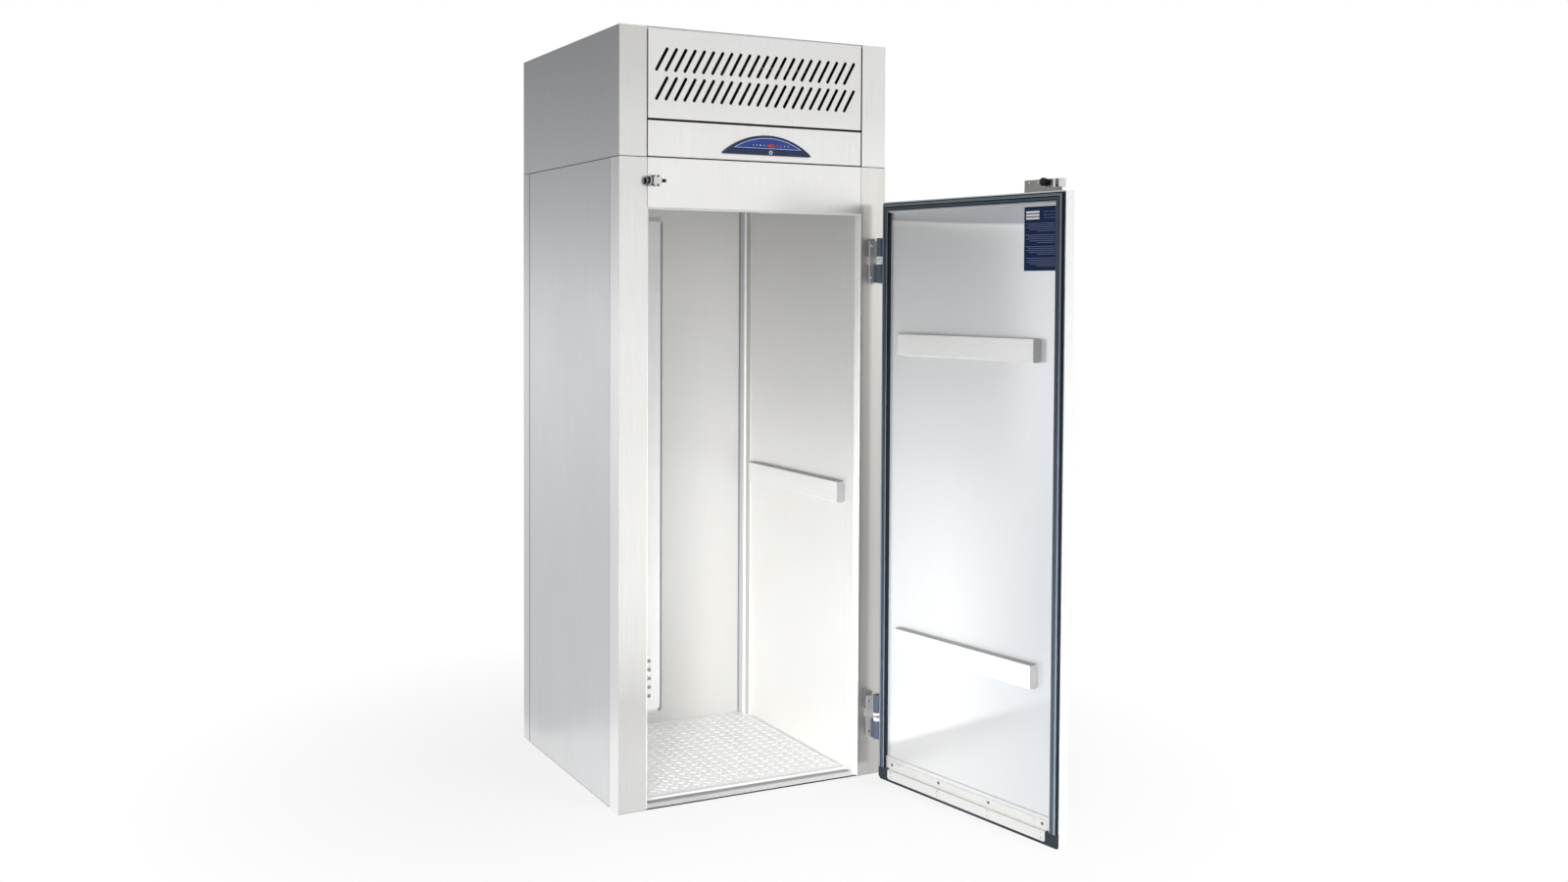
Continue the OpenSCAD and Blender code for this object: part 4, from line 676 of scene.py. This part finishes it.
def tread_bar(length, width, height):
    """A raised lens on the treadplate: a long low mound with pointed ends."""
    rings = []
    for k, z in ((1.0, 0.0), (0.72, 0.75), (0.34, 1.0)):
        ring = []
        for side in (1, -1):
            for i in range(6):
                t = side * (i / 3 - 1)
                w = (1 - t * t) * width / 2
                ring.append((t * length / 2 * (0.35 + 0.65 * k), side * w * k, z * height))
        rings.append(ring[::-1])
    return skin(rings)


# The floor with raised treads in a woven pattern, the treads lighter as a painted highlight
lo, hi = (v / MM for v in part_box("floor_plate"))
base = cad_copy("floor_plate", [(1.2, 1, lambda m, a, e: near(m.z, FLOOR_TOP))])
parts = [(painted(base, lambda c, n: 2 if abs(n.x) > 0.3 and n.z < 0.95 else 0), None)]
bar = mesh_of(tread_bar(20, 5.4, 1.3))
spans = [hi[k] - lo[k] - 2 * FLOOR_MARGIN for k in (0, 1)]
counts = [int(span // TREAD_PITCH) for span in spans]
x0, y0 = (lo[k] + FLOOR_MARGIN + (spans[k] - counts[k] * TREAD_PITCH) / 2 for k in (0, 1))
for i in range(counts[0] + 1):
    for j in range(i % 2, counts[1] + 1, 2):
        place = at(x0 + i * TREAD_PITCH, y0 + j * TREAD_PITCH, FLOOR_TOP - 0.05)
        parts.append((moved(bm_of(bar), place @ spin(radians(45 - i % 2 * 90))), 1))
show("floor_plate", joined(parts), "floor tread seam", 50)

# ---- bumper rails


def rail(length):
    """A rail along +Y standing off towards +X: a rounded channel with a grey cap in its far end."""
    half, out, r = RAIL_HALF, RAIL_OUT, 5.0
    profile = [(0.2, half)] + arc(out - r, half - r, r, 90, 0) + arc(out - r, r - half, r, 0, -90) + [(0.2, -half)]
    rings = [[(max(0.2, x - inset), y + lean * RAIL_BEND * x / out, z - math.copysign(inset, z)) for x, z in profile]
             for y, lean, inset in ((0, 1, 1.2), (1.2, 1, 0), (length - 3.4, -1, 0), (length - 2.6, -1, 0.5))]
    # painted shade along the upper edge, painted highlight along the lower edge
    channel = painted(skin(rings), lambda c, n: (2 if c.z > 0 else 3) if abs(c.z) > half - 1.6 else 0)
    # the cap's corners next to the wall are rounded larger
    outline = (arc(out - 4.6, half - 4.6, 4.2, 90, 0) + arc(out - 4.6, 4.6 - half, 4.2, 0, -90)
               + arc(8.5, 8.3 - half, 8, 270, 180) + arc(8.5, half - 8.3, 8, 180, 90))
    centre, rings = Vector((out / 2, 0)), []
    for y, inset in ((length - 3.6, 0.0), (length - 1.0, 0.0), (length - 0.3, 0.3), (length - 0.02, 1.0)):
        spokes = [Vector(p) - centre for p in outline]
        points = [centre + s * (1 - inset / s.length) for s in spokes]
        rings.append([(p.x, y - RAIL_BEND * p.x / out, p.y) for p in points])
    return joined([(channel, None), (skin(rings), 1)])


def rails(node, length, places):
    show(node, joined([(moved(rail(length), m), None) for m in places]), "rail rail_end rail_top rail_foot",
         40)


# Wall rails are capped at the doorway, door rails at the free edge
near_y, far_y, inset = FRAME_Y + 3, LOAD_Y - 75, 85
wall = at(OPEN_L, far_y, 870) @ Matrix.Diagonal((1, -1, 1, 1))
rails("wall_bumper_rails", far_y - near_y, [wall, Matrix.Diagonal((-1, 1, 1, 1)) @ wall])
places = [DOOR @ at(SEAL_R - inset, RIM_Y - 4, z) @ spin(pi / 2) for z in (447, 1331)]
rails("door_bumper_rails", SEAL_R - SEAL_L - 2 * inset, places)

# ---- door


def door_fold(mid, along, e):
    p = shut(mid)
    on_x, on_y = near(p.x, DOOR_L) or near(p.x, DOOR_R), near(p.y, DOOR_Y)
    return on_x + on_y + (near(p.z, DOOR_TOP) or near(p.z, DOOR_LOW)) >= 2


# painted light on the skin's edges, painted shade on its outer face
dress("door_outer_skin", "door door_face", [(2.4, 4, door_fold)], lambda c, n: 1 if n.x > 0.97 else 0)
dress("door_insulation", "foam")


def liner_step(mid, along, e):
    p = shut(mid)
    inside = DOOR_L + 20 < p.x < DOOR_R - 20 and 30 < p.z < DOOR_TOP - 20
    return inside or near(p.x, DOOR_L + 32, 0.5) or near(p.x, DOOR_R - 32, 0.5)


def liner_paint(centre, normal):
    """Painted shade on the pan's wall by the hinges, a painted highlight on the one along the top."""
    p, n = shut(centre), UNTURN @ normal
    if n.x < -0.35 and p.x > 300:
        return 1
    return 2 if n.z < -0.35 and p.z > 1600 else 0


dress("door_liner", "liner step_dark rail_foot", [(1.8, 4, liner_step)], liner_paint)

# The seal's profile round two sides and the top with mitred corners; painted shade in its grooves and on its walls,
# painted light on the flats beside the grooves, and a painted highlight on the inner wall of the top run
profile = [(0, 0), (0, 3.0), (0.6, 4.0), (2.4, 4.5), (3.6, 5.4), (3.4, 8.4), (4.4, 9.7), (6.2, 10), (10.6, 10),
           (11.6, 9.2), (12.6, 9.2), (13.6, 10), (19.4, 10), (20.4, 9.2), (21.2, 9.2), (21.8, 9.7), (23.6, 9.7),
           (24.6, 8.4), (24.4, 5.4), (25.6, 4.5), (27.4, 4.0), (28, 3.0), (28, 0)]
shades = (1, 1, 1, 1, 1, 2, 2, 2, 1, 1, 1, 0, 1, 1, 1, 2, 2, 1, 1, 1, 1, 1, 1)  # material number of the strip after each point: painted shade 1, painted light 2
bm = skin([[(SEAL_L + u if k < 2 else SEAL_R - u, RIM_Y + v, WIPER_TOP if k in (0, 3) else SEAL_TOP - u)
            for u, v in profile] for k in range(4)])
for n, f in enumerate(bm.faces[:3 * len(profile)]):
    run, strip = divmod(n, len(profile))
    f.material_index = 3 if run == 1 and 17 <= strip <= 21 else shades[strip]
show("door_seal", bm, "seal seal_dark seal_light seal_pale", 24, DOOR)


def low_corner(x, tol=0.6):
    """The lower corner edge across a sheet at the given side of the shut door."""
    def test(mid, along, e):
        p = shut(mid)
        return abs((UNTURN @ along).y) > 0.9 and near(p.x, x, tol) and p.z < 14
    return test


dress("door_wiper", "rubber",
      [(9, 1, low_corner(SEAL_R + 2)), (3, 3, low_corner(SEAL_L - 2)),
       (0.6, 2, lambda m, a, e: near(shut(m).x, SEAL_L - 2, 0.6) or near(shut(m).x, SEAL_R + 2, 0.6))])
dress("wiper_clamp", "clamp",
      [(6, 5, low_corner(CLAMP_L, 0.3)), (6, 5, low_corner(CLAMP_R, 0.3)), (0.4, 2, longer(0.2))])

# The blue plate with a plain generic print: blank fields and rules
base = cad_copy("door_plate", [(0.25, 1, longer(0))])
points = [shut(v.co / MM) for v in base.verts]
lo, hi = (Vector([pick(p[i] for p in points) for i in range(3)]) for pick in (min, max))
left, right, width = lo.x + 7, hi.x - 7, hi.x - lo.x - 14
marks = []
for i in range(3):
    z = hi.z - i * 8.5
    marks += [(left + 0.54 * width, z - 17, right, z - 11.5, 2), (left, z - 15, left + 0.4 * width, z - 13.4, 1)]
z, n = hi.z - 46, 0
while z > lo.z + 12:
    if n % 6 != 5:
        marks.append((left, z, left + width * (1.0, 0.93, 0.98, 0.88, 0.62)[n % 6], z + 1.7, 1))
    z, n = z - 5.2, n + 1
parts = [(base, 0)]
for x0, z0, x1, z1, number in marks:
    parts.append((moved(block((x0, hi.y - 0.05, z0), (x1, hi.y + 0.12, z1)), DOOR), number))
show("door_plate", joined(parts), "plate_blue rule rail_foot")
dress("latch_bracket", "bracket", [(0.5, 2, longer(0.02))])
dress("latch_housing", "bright", [(0.8, 3, longer(0.003))])
dress("latch_tongue", "dark_metal", [(0.6, 2, longer(0.002))])
dress("latch_knob", "black", [(0.5, 2, longer(0.002))])

# The pull: a bow with rounded edges on two collared standoffs
x, z, half, out = DOOR_L + 78, 1040.0, 170.0, DOOR_Y - 40
parts = [(block((x - 11, out, z - half), (x + 11, out + 12, z + half), 4.5, 5), 0)]
for s in (-1, 1):
    for profile in ([(0, 0), (8, 0), (8, 27.5), (0, 27.5)],
                    [(8.2, 0), (12, 0), (12, 2.2), (11.2, 3), (8.2, 3.2)]):
        parts.append((moved(lathe(profile, 40), at(x, DOOR_Y, z + s * (half - 22)) @ TO_FRONT), 0))
show("door_handle", joined(parts), "handle", 35, DOOR)

# ---- screws


def screw_head(d, h):
    """A pan head with a cross recess, its seat on z = 0."""
    r = d / 2
    head = lathe([(0, 0), (r * 0.96, 0), (r, h * 0.25), (r * 0.94, h * 0.62), (r * 0.75, h * 0.88), (r * 0.4, h),
                  (0, h)], 28)
    bmesh.ops.recalc_face_normals(head, faces=head.faces)
    bars = [(moved(block((-r * 0.56, -r * 0.1, h * 0.42), (r * 0.56, r * 0.1, h * 1.6)), spin(a)), None)
            for a in (0, pi / 2)]
    body, cutter = (linked("temp", mesh_of(bm)) for bm in (head, joined(bars)))
    mod = body.modifiers.new("cut", "BOOLEAN")
    mod.operation, mod.solver, mod.use_self, mod.object = "DIFFERENCE", "EXACT", True, cutter
    mesh = evaluated(body)
    for obj in (body, cutter):
        bpy.data.objects.remove(obj)
    return mesh


def screws(node, items, matrix=None):
    """items: (head mesh, matrix, 0 for bright or 1 for dark)."""
    parts = [(moved(bm_of(head), m), number) for head, m, number in items]
    show(node, joined(parts), "bright dark_metal", 38, matrix)


big, small, low = screw_head(9, 2.4), screw_head(6, 1.6), screw_head(9, 1.8)
rivet = mesh_of(lathe([(0, 0), (3, 0), (2.9, 0.35), (2.2, 0.7), (0, 0.8)], 20))
screws("frame_screws",
       [(big, at(PIVOT[0] - 17, FRONT - 3, z + s) @ TO_FRONT @ spin(0.4 + s), 0) for z in HINGE_ZS for s in (-48, 48)]
       + [(small, at(CATCH_X + x, FRONT - 12, ROLLER_Z + z) @ TO_FRONT @ spin(x * z), 1)
          for x in (-7, 7) for z in (-12.5, 12.5)])
items = []
for i in range(4):
    x = CLAMP_L + 15 + i * (CLAMP_R - CLAMP_L - 30) / 3
    items.append((low, at(x, RIM_Y + 1.5, 54) @ TO_REAR @ spin(i * 0.7), 1))
    items += [(rivet, at(x, RIM_Y + 7.5, z) @ TO_REAR, 0) for z in (17, 30)]
items += [(big, at(DOOR_R + 3, (DOOR_Y + RIM_Y) / 2, z + s) @ TO_RIGHT @ spin(s), 0)
          for z in HINGE_ZS for s in (-50, -14)]
items += [(small, at(x, RIM_Y - 12, DOOR_TOP + 26) @ TO_REAR @ spin(x), 0) for x in (DOOR_L + 148, DOOR_L + 114)]
screws("door_screws", items, DOOR)

# ---- hinges


def knuckle(z0, z1):
    return lathe([(5.4, z0), (11.8, z0), (12.9, z0 + 1.2), (13, z0 + 1.6), (13, z1 - 1.6), (12.9, z1 - 1.2),
                  (11.8, z1), (5.4, z1)], 132, True, lambda a, r: 1 - 0.0225 * (1 - cos(22 * a)) if r > 12 else 1)


def cam_ring(side):
    """A nylon ring with its slanted running face: 1 for the upper, -1 for the lower."""
    slope = 3.0 / 12.5
    return skin([[(x, y, side * 0.15 - slope * x if on_face else side * CAM_Z) for x, y in circle(0, 0, 2 * r, 48)]
                 for r, on_face in ((5.4, 0), (12.4, 0), (12.4, 1), (5.4, 1))], True)


def hinge_leaves(node, stand, span, arm, leaf, side):
    """Fluted knuckles, arms, leaves and nylon rings of both hinges."""
    parts = []
    for z in HINGE_ZS:
        for bm, number in ((knuckle(*span), 0), (block(*arm), 0), (block(*leaf), 1), (cam_ring(side), 2)):
            parts.append((moved(bm, stand @ at(*PIVOT, z)), number))
    show(node, joined(parts), "hinge hinge_light catch", 30)


hinge_leaves("hinge_frame_leaves", Matrix(), (-LEAF_Z, -CAM_Z), ((-9, 8, -LEAF_Z), (9, 28, -CAM_Z), 1.0),
             ((-24, 25, -LEAF_Z), (16, 28, LEAF_Z), 0.9, 3, lambda p: p.y < 26.5), -1)
hinge_leaves("hinge_door_leaves", DOOR, (CAM_Z, LEAF_Z), ((1 - REACH, -4, CAM_Z), (-9, 4, LEAF_Z), 0.8),
             ((-REACH, DOOR_Y - PIVOT[1] + 3, -LEAF_Z), (3 - REACH, RIM_Y - PIVOT[1] - 3, LEAF_Z), 0.9, 3), 1)
dress("hinge_pins", "bright", [(0.6, 2, longer(0.0008))])

# ---- catch


def catch_paint(centre, normal):
    """White body 0, black axle stub and inner flank of the plate 1, bright plate 2."""
    if abs(centre.x - CATCH_X) <= CATCH_HALF + 0.005:
        return 0
    return 2 if centre.x < CATCH_X and normal.x >= -0.5 else 1


base = cad_copy("catch_body", [(0.7, 2, lambda m, a, e: e.calc_length() > 0.004 and m.x < CATCH_X + 14.5)])
parts = [(painted(base, catch_paint), None)]
for x in (CATCH_X - 9, CATCH_X + 4):  # short ribs along the upper and lower edges
    for z in (ROLLER_Z - 15.6, ROLLER_Z + 12.8):
        parts.append((block((x, FRONT - 12.4, z), (x + 7.5, FRONT - 11, z + 2.8), 0.4, 1), 1))
show("catch_body", joined(parts), "catch black bright")

# A turned roller: black rim by the body, white disc and a narrower near-black drum, partly a painted shadow of the
# catch on the post
lo, hi = (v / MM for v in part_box("catch_roller"))
r, w, bore = (hi.z - lo.z) / 2, hi.x - lo.x, 3.05
rim, disc, drum = w - 5.2, w - 7.4, r * 0.7
roll = lathe([(bore, 0), (drum - 1, 0), (drum, 1), (drum, disc), (r - 0.8, disc), (r, disc + 0.6), (r, rim - 0.5),
              (r - 0.4, rim), (r, rim + 0.4), (r, w - 0.8), (r - 0.8, w), (bore, w)], 48, True)
painted(roll, lambda c, n: 1 if disc - 0.1 < c.z < rim - 0.1 else (2 if c.z < disc - 0.1 else 0))
moved(roll, at(lo.x, (lo.y + hi.y) / 2, (lo.z + hi.z) / 2) @ TO_RIGHT)
show("catch_roller", roll, "black catch drum", 40)

# ---- machine housing


def housing_paint(centre, normal):
    """Outer sides 0, right front flange 1, dark joints and inner faces in painted shade 2, left front flange 3."""
    if joint_paint(centre, normal) or abs(centre.x) < OPEN_R + 0.9:
        return 2
    if normal.y < -0.5:
        return 1 if centre.x > 0 else 3
    inward = normal.x * centre.x < 0 and abs(normal.x) > 0.5
    return 2 if inward or normal.y > 0.5 and centre.y < FRONT + 30 else 0


def grille_paint(centre, normal):
    """The black gland, and painted shade on the inner face."""
    gland = math.hypot(centre.x - GLAND_X, centre.z - GLAND_Z) < GLAND_R
    return 1 if gland or normal.y < -0.5 else 0


dress("housing_sides", "side front seam front_left",
      [JOINT_EDGE, (2.6, 4, upright(RIGHT - 0.6, FRONT + 0.6)),
       (1.0, 1, lambda m, a, e: m.y < FRONT + 1 and upright(OPEN_R, None, 0.9)(m, a, e))], housing_paint)
dress("housing_top", "side", [(0.3, 1, lambda m, a, e: near(m.z, TOP))], smooth=40)
dress("rear_grille", "side inside", (), grille_paint)


def slot_outline(cx, cz):
    """A leaning slot with round ends."""
    width, length, lean = 8.5, 68.0, radians(-28.5)
    outline = arc(0, length / 2, width / 2, 0, 180, 12) + arc(0, -length / 2, width / 2, 180, 360, 12)
    return [(cx + x * cos(lean) - z * sin(lean), cz + x * sin(lean) + z * cos(lean)) for x, z in outline]


# The louvred panel: a slotted sheet with returns and a rolled upper edge; its slots' rims and returns are black as
# painted shade
x0, x1, z0, z1 = OPEN_L + 1.5, OPEN_R - 1.5, SPLIT + 1.5, TOP - 1.5
mid, y0, roll_z, sheet, inset = z0 + (z1 - z0) * 0.497, FASCIA_Y, z1 - 5, 1.2, 0.8
a, b, foot, top = x0 + inset, x1 - inset, z0 + 1.4, roll_z + 0.4
outlines = [[(a, foot), (b, foot), (b, top), (a, top)]]
slots, pitch, row_pitch = 22, 29.3, 82.5
outlines += [slot_outline((i - (slots - 1) / 2) * pitch, mid + row * row_pitch)
             for row in (-0.5, 0.5) for i in range(slots)]
face = painted(plate(outlines, sheet, 0.45), lambda c, n: 0 if n.z > 0.99 or c.y > roll_z - 1 else 1)
parts = [(moved(face, at(0, y0 + 0.6, 0) @ TO_FRONT), None)]
for a, b, top in ((x0, x1, z0 + sheet), (x0, x0 + sheet, roll_z), (x1 - sheet, x1, roll_z)):
    parts.append((block((a, y0 + 0.6, z0), (b, y0 + 14, top), 0.3, 1), 1))
# the rolled edge in white: a painted highlight
roll = lathe([(3.8, 0), (5, 0), (5, x1 - x0), (3.8, x1 - x0)], 48, True)
parts.append((moved(roll, at(x0, y0 + 5, roll_z) @ TO_RIGHT), 2))
show("louvre_panel", joined(parts), "front inside trim_white", 14)
dress("control_fascia", "front seam",
      [(1.8, 1, lambda m, a, e: near(m.y, FASCIA_Y) and m.z > SPLIT - 4 and abs(a.x) > 0.9),
       (0.9, 1, lambda m, a, e: near(m.y, FASCIA_Y) and abs(m.x) > OPEN_R - 2.5)],
      lambda c, n: 1 if n.y > -0.95 and c.y < FRONT + 4 or c.z < FASCIA_LOW else 0, cut=(0, 0, FASCIA_LOW))

# ---- control panel


def moon(inset, low):
    """The half-moon outline drawn in by inset and cut off below low."""
    r, cz = MOON_R - inset, MOON_H - MOON_R
    half = min(MOON_W / 2 - inset, math.sqrt(r * r - (low - cz) ** 2))
    end = math.asin(half / r)
    points = arc(0, cz, r, 90 + math.degrees(end), 90 - math.degrees(end), 72)
    if cz + r * cos(end) > low + 0.01:
        points += [(half, low), (-half, low)]
    return [(MOON_X + x, MOON_Z + z) for x, z in points]


def front_rim(mid, along, e):
    """The bezel's front edges along its arc, foot and tips."""
    x, z = mid.x - MOON_X, mid.z - MOON_Z
    outer = abs(math.hypot(x, z - (MOON_H - MOON_R)) - MOON_R) < 0.6 or z < 0.3 or abs(x) > TIP_X - 2
    return mid.y < FASCIA_Y - 0.3 and outer


# The bezel, with blunt round tips
bm = cad_copy("control_bezel")
for side in (-1, 1):
    cut = bisect(bm, (MOON_X + side * TIP_X, 0, 0), (side, 0, 0), clear_outer=True)
    bmesh.ops.edgeloop_fill(bm, edges=[e for e in cut["geom_cut"] if isinstance(e, bmesh.types.BMEdge)])
bmesh.ops.recalc_face_normals(bm, faces=bm.faces)
soften(bm, [(2.2, 4, lambda m, a, e: abs(a.y) > 0.9 and near(abs(m.x - MOON_X), TIP_X, 0.3)), (1.5, 4, front_rim)])
show("control_bezel", bm, "navy", 40)

# The blue face: holes for keys, lamps and window, and a pale line along its rim
low, wide, high = 17.5, 11.5, 4.5
outlines = [moon(6, low)]
for i in range(4):
    outlines.append(circle(BUTTON_X + i * KEY_PITCH, KEY_Z, 6.8))
    outlines.append(circle(LAMP_X + i * KEY_PITCH, KEY_Z, 4.3))
outlines.append([(KEY_X + x * wide, KEY_Z + z * high) for x, z in ((-1, -1), (1, -1), (1, 1), (-1, 1))])
face = moved(plate(outlines, 0.8, 0.2), at(0, FACE_Y + 0.4, 0) @ TO_FRONT)
line = moved(plate([moon(8.2, low + 1.6), moon(9.5, low + 2.6)], 0.3, 0.1, 1), at(0, FACE_Y - 0.05, 0) @ TO_FRONT)
show("control_face", joined([(face, 0), (line, 1)]), "blue pale", 40)

# The dark red window and domed lamps
y0 = FACE_Y - 0.2
parts = [(block((KEY_X - 11.4, y0, KEY_Z - 4.4), (KEY_X + 11.4, y0 + 1.0, KEY_Z + 4.4), 0.5, 3), 0)]
for i, number in enumerate((1, 1, 2, 3)):
    dome = lathe([(0, -0.8), (2, -0.8), (2, 0.1), (1.7, 0.42), (1.0, 0.56), (0, 0.6)], 24)
    parts.append((moved(dome, at(LAMP_X + i * KEY_PITCH, FACE_Y, KEY_Z) @ TO_FRONT), number))
show("display_and_lamps", joined(parts), "red red_lamp green_lamp grey_lamp", 40)

# Domed push buttons with raised generic signs: up, down, ring and bar
for i, sign in enumerate(([[(-2.3, -1.5), (2.3, -1.5), (0, 2.2)]],
                          [[(-2.3, 1.5), (0, -2.2), (2.3, 1.5)]],
                          [circle(0, 0, 4.8, 24), circle(0, 0, 2.2, 24)],
                          [[(-2.3, -0.9), (2.3, -0.9), (2.3, 0.9), (-2.3, 0.9)]])):
    body = lathe([(0, -3.8), (3.25, -3.8), (3.25, 1.0), (3.0, 1.5), (2.6, 1.6), (0, 1.6)])
    bm = joined([(body, 0), (moved(plate(sign, 0.3, 0.08, 1), at(0, 0, 1.62)), 1)])
    moved(bm, at(BUTTON_X + i * KEY_PITCH, FACE_Y, KEY_Z) @ TO_FRONT)
    show(f"button_{i + 1}", bm, "button pale", 40)

# A turned barrel: a chamfered ring round a core with a real keyway, and painted shade on the barrel's floor behind it
sunk = -1.9
barrel = lathe([(0, -6.5), (6, -6.5), (6, -0.2), (5.4, 0.35), (4.6, 0.35), (4.1, 0), (4.1, sunk), (0, sunk)], 40)
painted(barrel, lambda c, n: 2 if near(c.z, sunk) else 0)
core = plate([circle(0, 0, 8.0, 40), [(-1, -3), (1, -3), (1, 3), (-1, 3)]], 1.8, 0.15, 1)
bm = joined([(barrel, None), (moved(core, at(0, 0, sunk / 2)), 1)])
moved(bm, at(KEY_X, FASCIA_Y - MOON_T, LOCK_Z) @ TO_FRONT)
show("key_switch", bm, "catch grey_metal seam", 40)

# ---- machinery


def coil(node, fins, ends):
    """A finned block between end plates and bends of pipe."""
    lo, hi = (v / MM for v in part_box(node))

    def paint(c, n):
        if lo.x + 20 < c.x < hi.x - 20:
            return 0
        return 1 if abs(n.x) > 0.9 else 2
    dress(node, f"{fins} {ends} copper", (), paint, 40)


# the condenser coil and its end plates black all over: painted shade inside the housing
coil("condenser_coil", "fin_black_painted_shade", "black")
coil("evaporator_coil", "fin", "grey_metal")
dress("fan_shroud", "grey_metal")
for node in ("condenser_fan", "evaporator_fan"):
    dress(node, "black", smooth=40)
dress("fan_motors", "dark_metal",
      [(1.0, 2, lambda m, a, e: e.calc_length() > 0.0015 and e.calc_face_angle(0) > 1.2)], smooth=40)
dress("compressor", "black", smooth=40)
dress("compressor_mounts", "rubber", smooth=40)
dress("pipework", "copper", smooth=60)
dress("electrical_box", "box", smooth=40)

# ---- stage, lamps and camera


def stage_plane(name, centre, right, up, material):
    mesh = bpy.data.meshes.new(name)
    c, r, u = map(Vector, (centre, right, up))
    mesh.from_pydata([c - r - u, c + r - u, c + r + u, c - r + u], [], [(0, 1, 2, 3)])
    mesh.materials.append(material)
    obj = linked(name, mesh)
    return obj


def seen_factor(tree):
    """1 for camera, glossy and transmission rays, else 0."""
    rays = add(tree, "LightPath").outputs
    total = rays["Is Camera Ray"]
    for other in ("Is Glossy Ray", "Is Transmission Ray"):
        total = maths(tree, "MAXIMUM", total, rays[other])
    return total


# White ground that shows contact shadows and fades to plain white
mat, tree = shader("stage_floor")
place = add(tree, "TexCoord").outputs["Object"]
out = add(tree, "VectorMath", {0: place}, operation="LENGTH").outputs["Value"]
fade = maths(tree, "MULTIPLY", ranged(tree, out, 0.72, 1.0, 0.55, 1.7), seen_factor(tree))
diffuse = add(tree, "BsdfDiffuse", {"Color": (0.9, 0.9, 0.9)})
glow = add(tree, "Emission", {"Strength": 1})
mix = add(tree, "MixShader", {0: fade, 1: diffuse.outputs[0], 2: glow.outputs[0]})
add(tree, "OutputMaterial", {"Surface": mix.outputs[0]})
stage_plane("stage_floor", (0, 0, -0.0005), (40, 0, 0), (0, 40, 0), mat)

# A dim card behind the cabinet, seen only in reflections: it gives the left side its grey
mat, tree = shader("stage_card")
top = 3.2
shades = ((0, 0.66), (0.6, 0.77), (0.9, 0.84), (1.2, 0.88), (1.4, 0.84), (1.7, 0.62), (2.0, 0.46), (2.3, 0.37),
          (3.0, 0.20))
colour = ramp(tree, height(tree, top), [(z / top, (0.99 * k, k, 1.02 * k)) for z, k in shades])
add(tree, "OutputMaterial", {"Surface": add(tree, "Emission", {"Color": colour}).outputs[0]})
for name, centre, right, up in (("stage_card", (-3.6, 4.2, 2.2), (3.1, 0, 0), (0, 0, top)),
                                ("stage_card_low", (-3.6, 2.3, 0.01), (3.1, 0, 0), (0, 1.9, 0))):
    card = stage_plane(name, centre, right, up, mat)
    card.visible_camera = card.visible_diffuse = card.visible_shadow = card.visible_transmission = False

world = bpy.context.scene.world = bpy.data.worlds.new("studio")
tree = emptied(world)
light = blend(tree, seen_factor(tree), (0.55, 0.55, 0.56), (1, 1, 1))
back = add(tree, "Background", {"Color": light, "Strength": 1})
add(tree, "OutputWorld", {"Surface": back.outputs[0]})


def lamp(name, position, target, size, power, spread=180):
    data = bpy.data.lights.new(name, "AREA")
    data.shape = "RECTANGLE"
    data.size, data.size_y = size
    data.energy = power
    data.spread = radians(spread)
    obj = linked(name, data)
    obj.location = position
    obj.rotation_euler = (Vector(target) - Vector(position)).to_track_quat("-Z", "Y").to_euler()
    obj.visible_camera = obj.visible_glossy = False


lamp("key", (2.2, -5.4, 2.4), (0.1, -0.2, 1.2), (2.2, 2.0), 66)
lamp("low_left", (-1.9, -3.6, 0.45), (0.36, -0.30, 0.14), (1.2, 0.6), 18, 45)

# The photograph's camera, as fitted to the cabinet's edges
data = bpy.data.cameras.new("camera")
yaw, pitch, roll = radians(-27.4), radians(-1.941), radians(0.276)
turn = spin(yaw) @ spin(pi / 2 + pitch, "X") @ spin(roll)
obj = linked("camera", data)
obj.matrix_world = Matrix.Translation((-2.036621, -4.464385, 1.496009)) @ turn
data.sensor_width = 36
data.lens = 1562.363 / 1600 * data.sensor_width
data.shift_x, data.shift_y = 0.00625, -0.0625
data.clip_end = 200
bpy.context.scene.camera = obj

bpy.context.scene.view_settings.view_transform = "Standard"
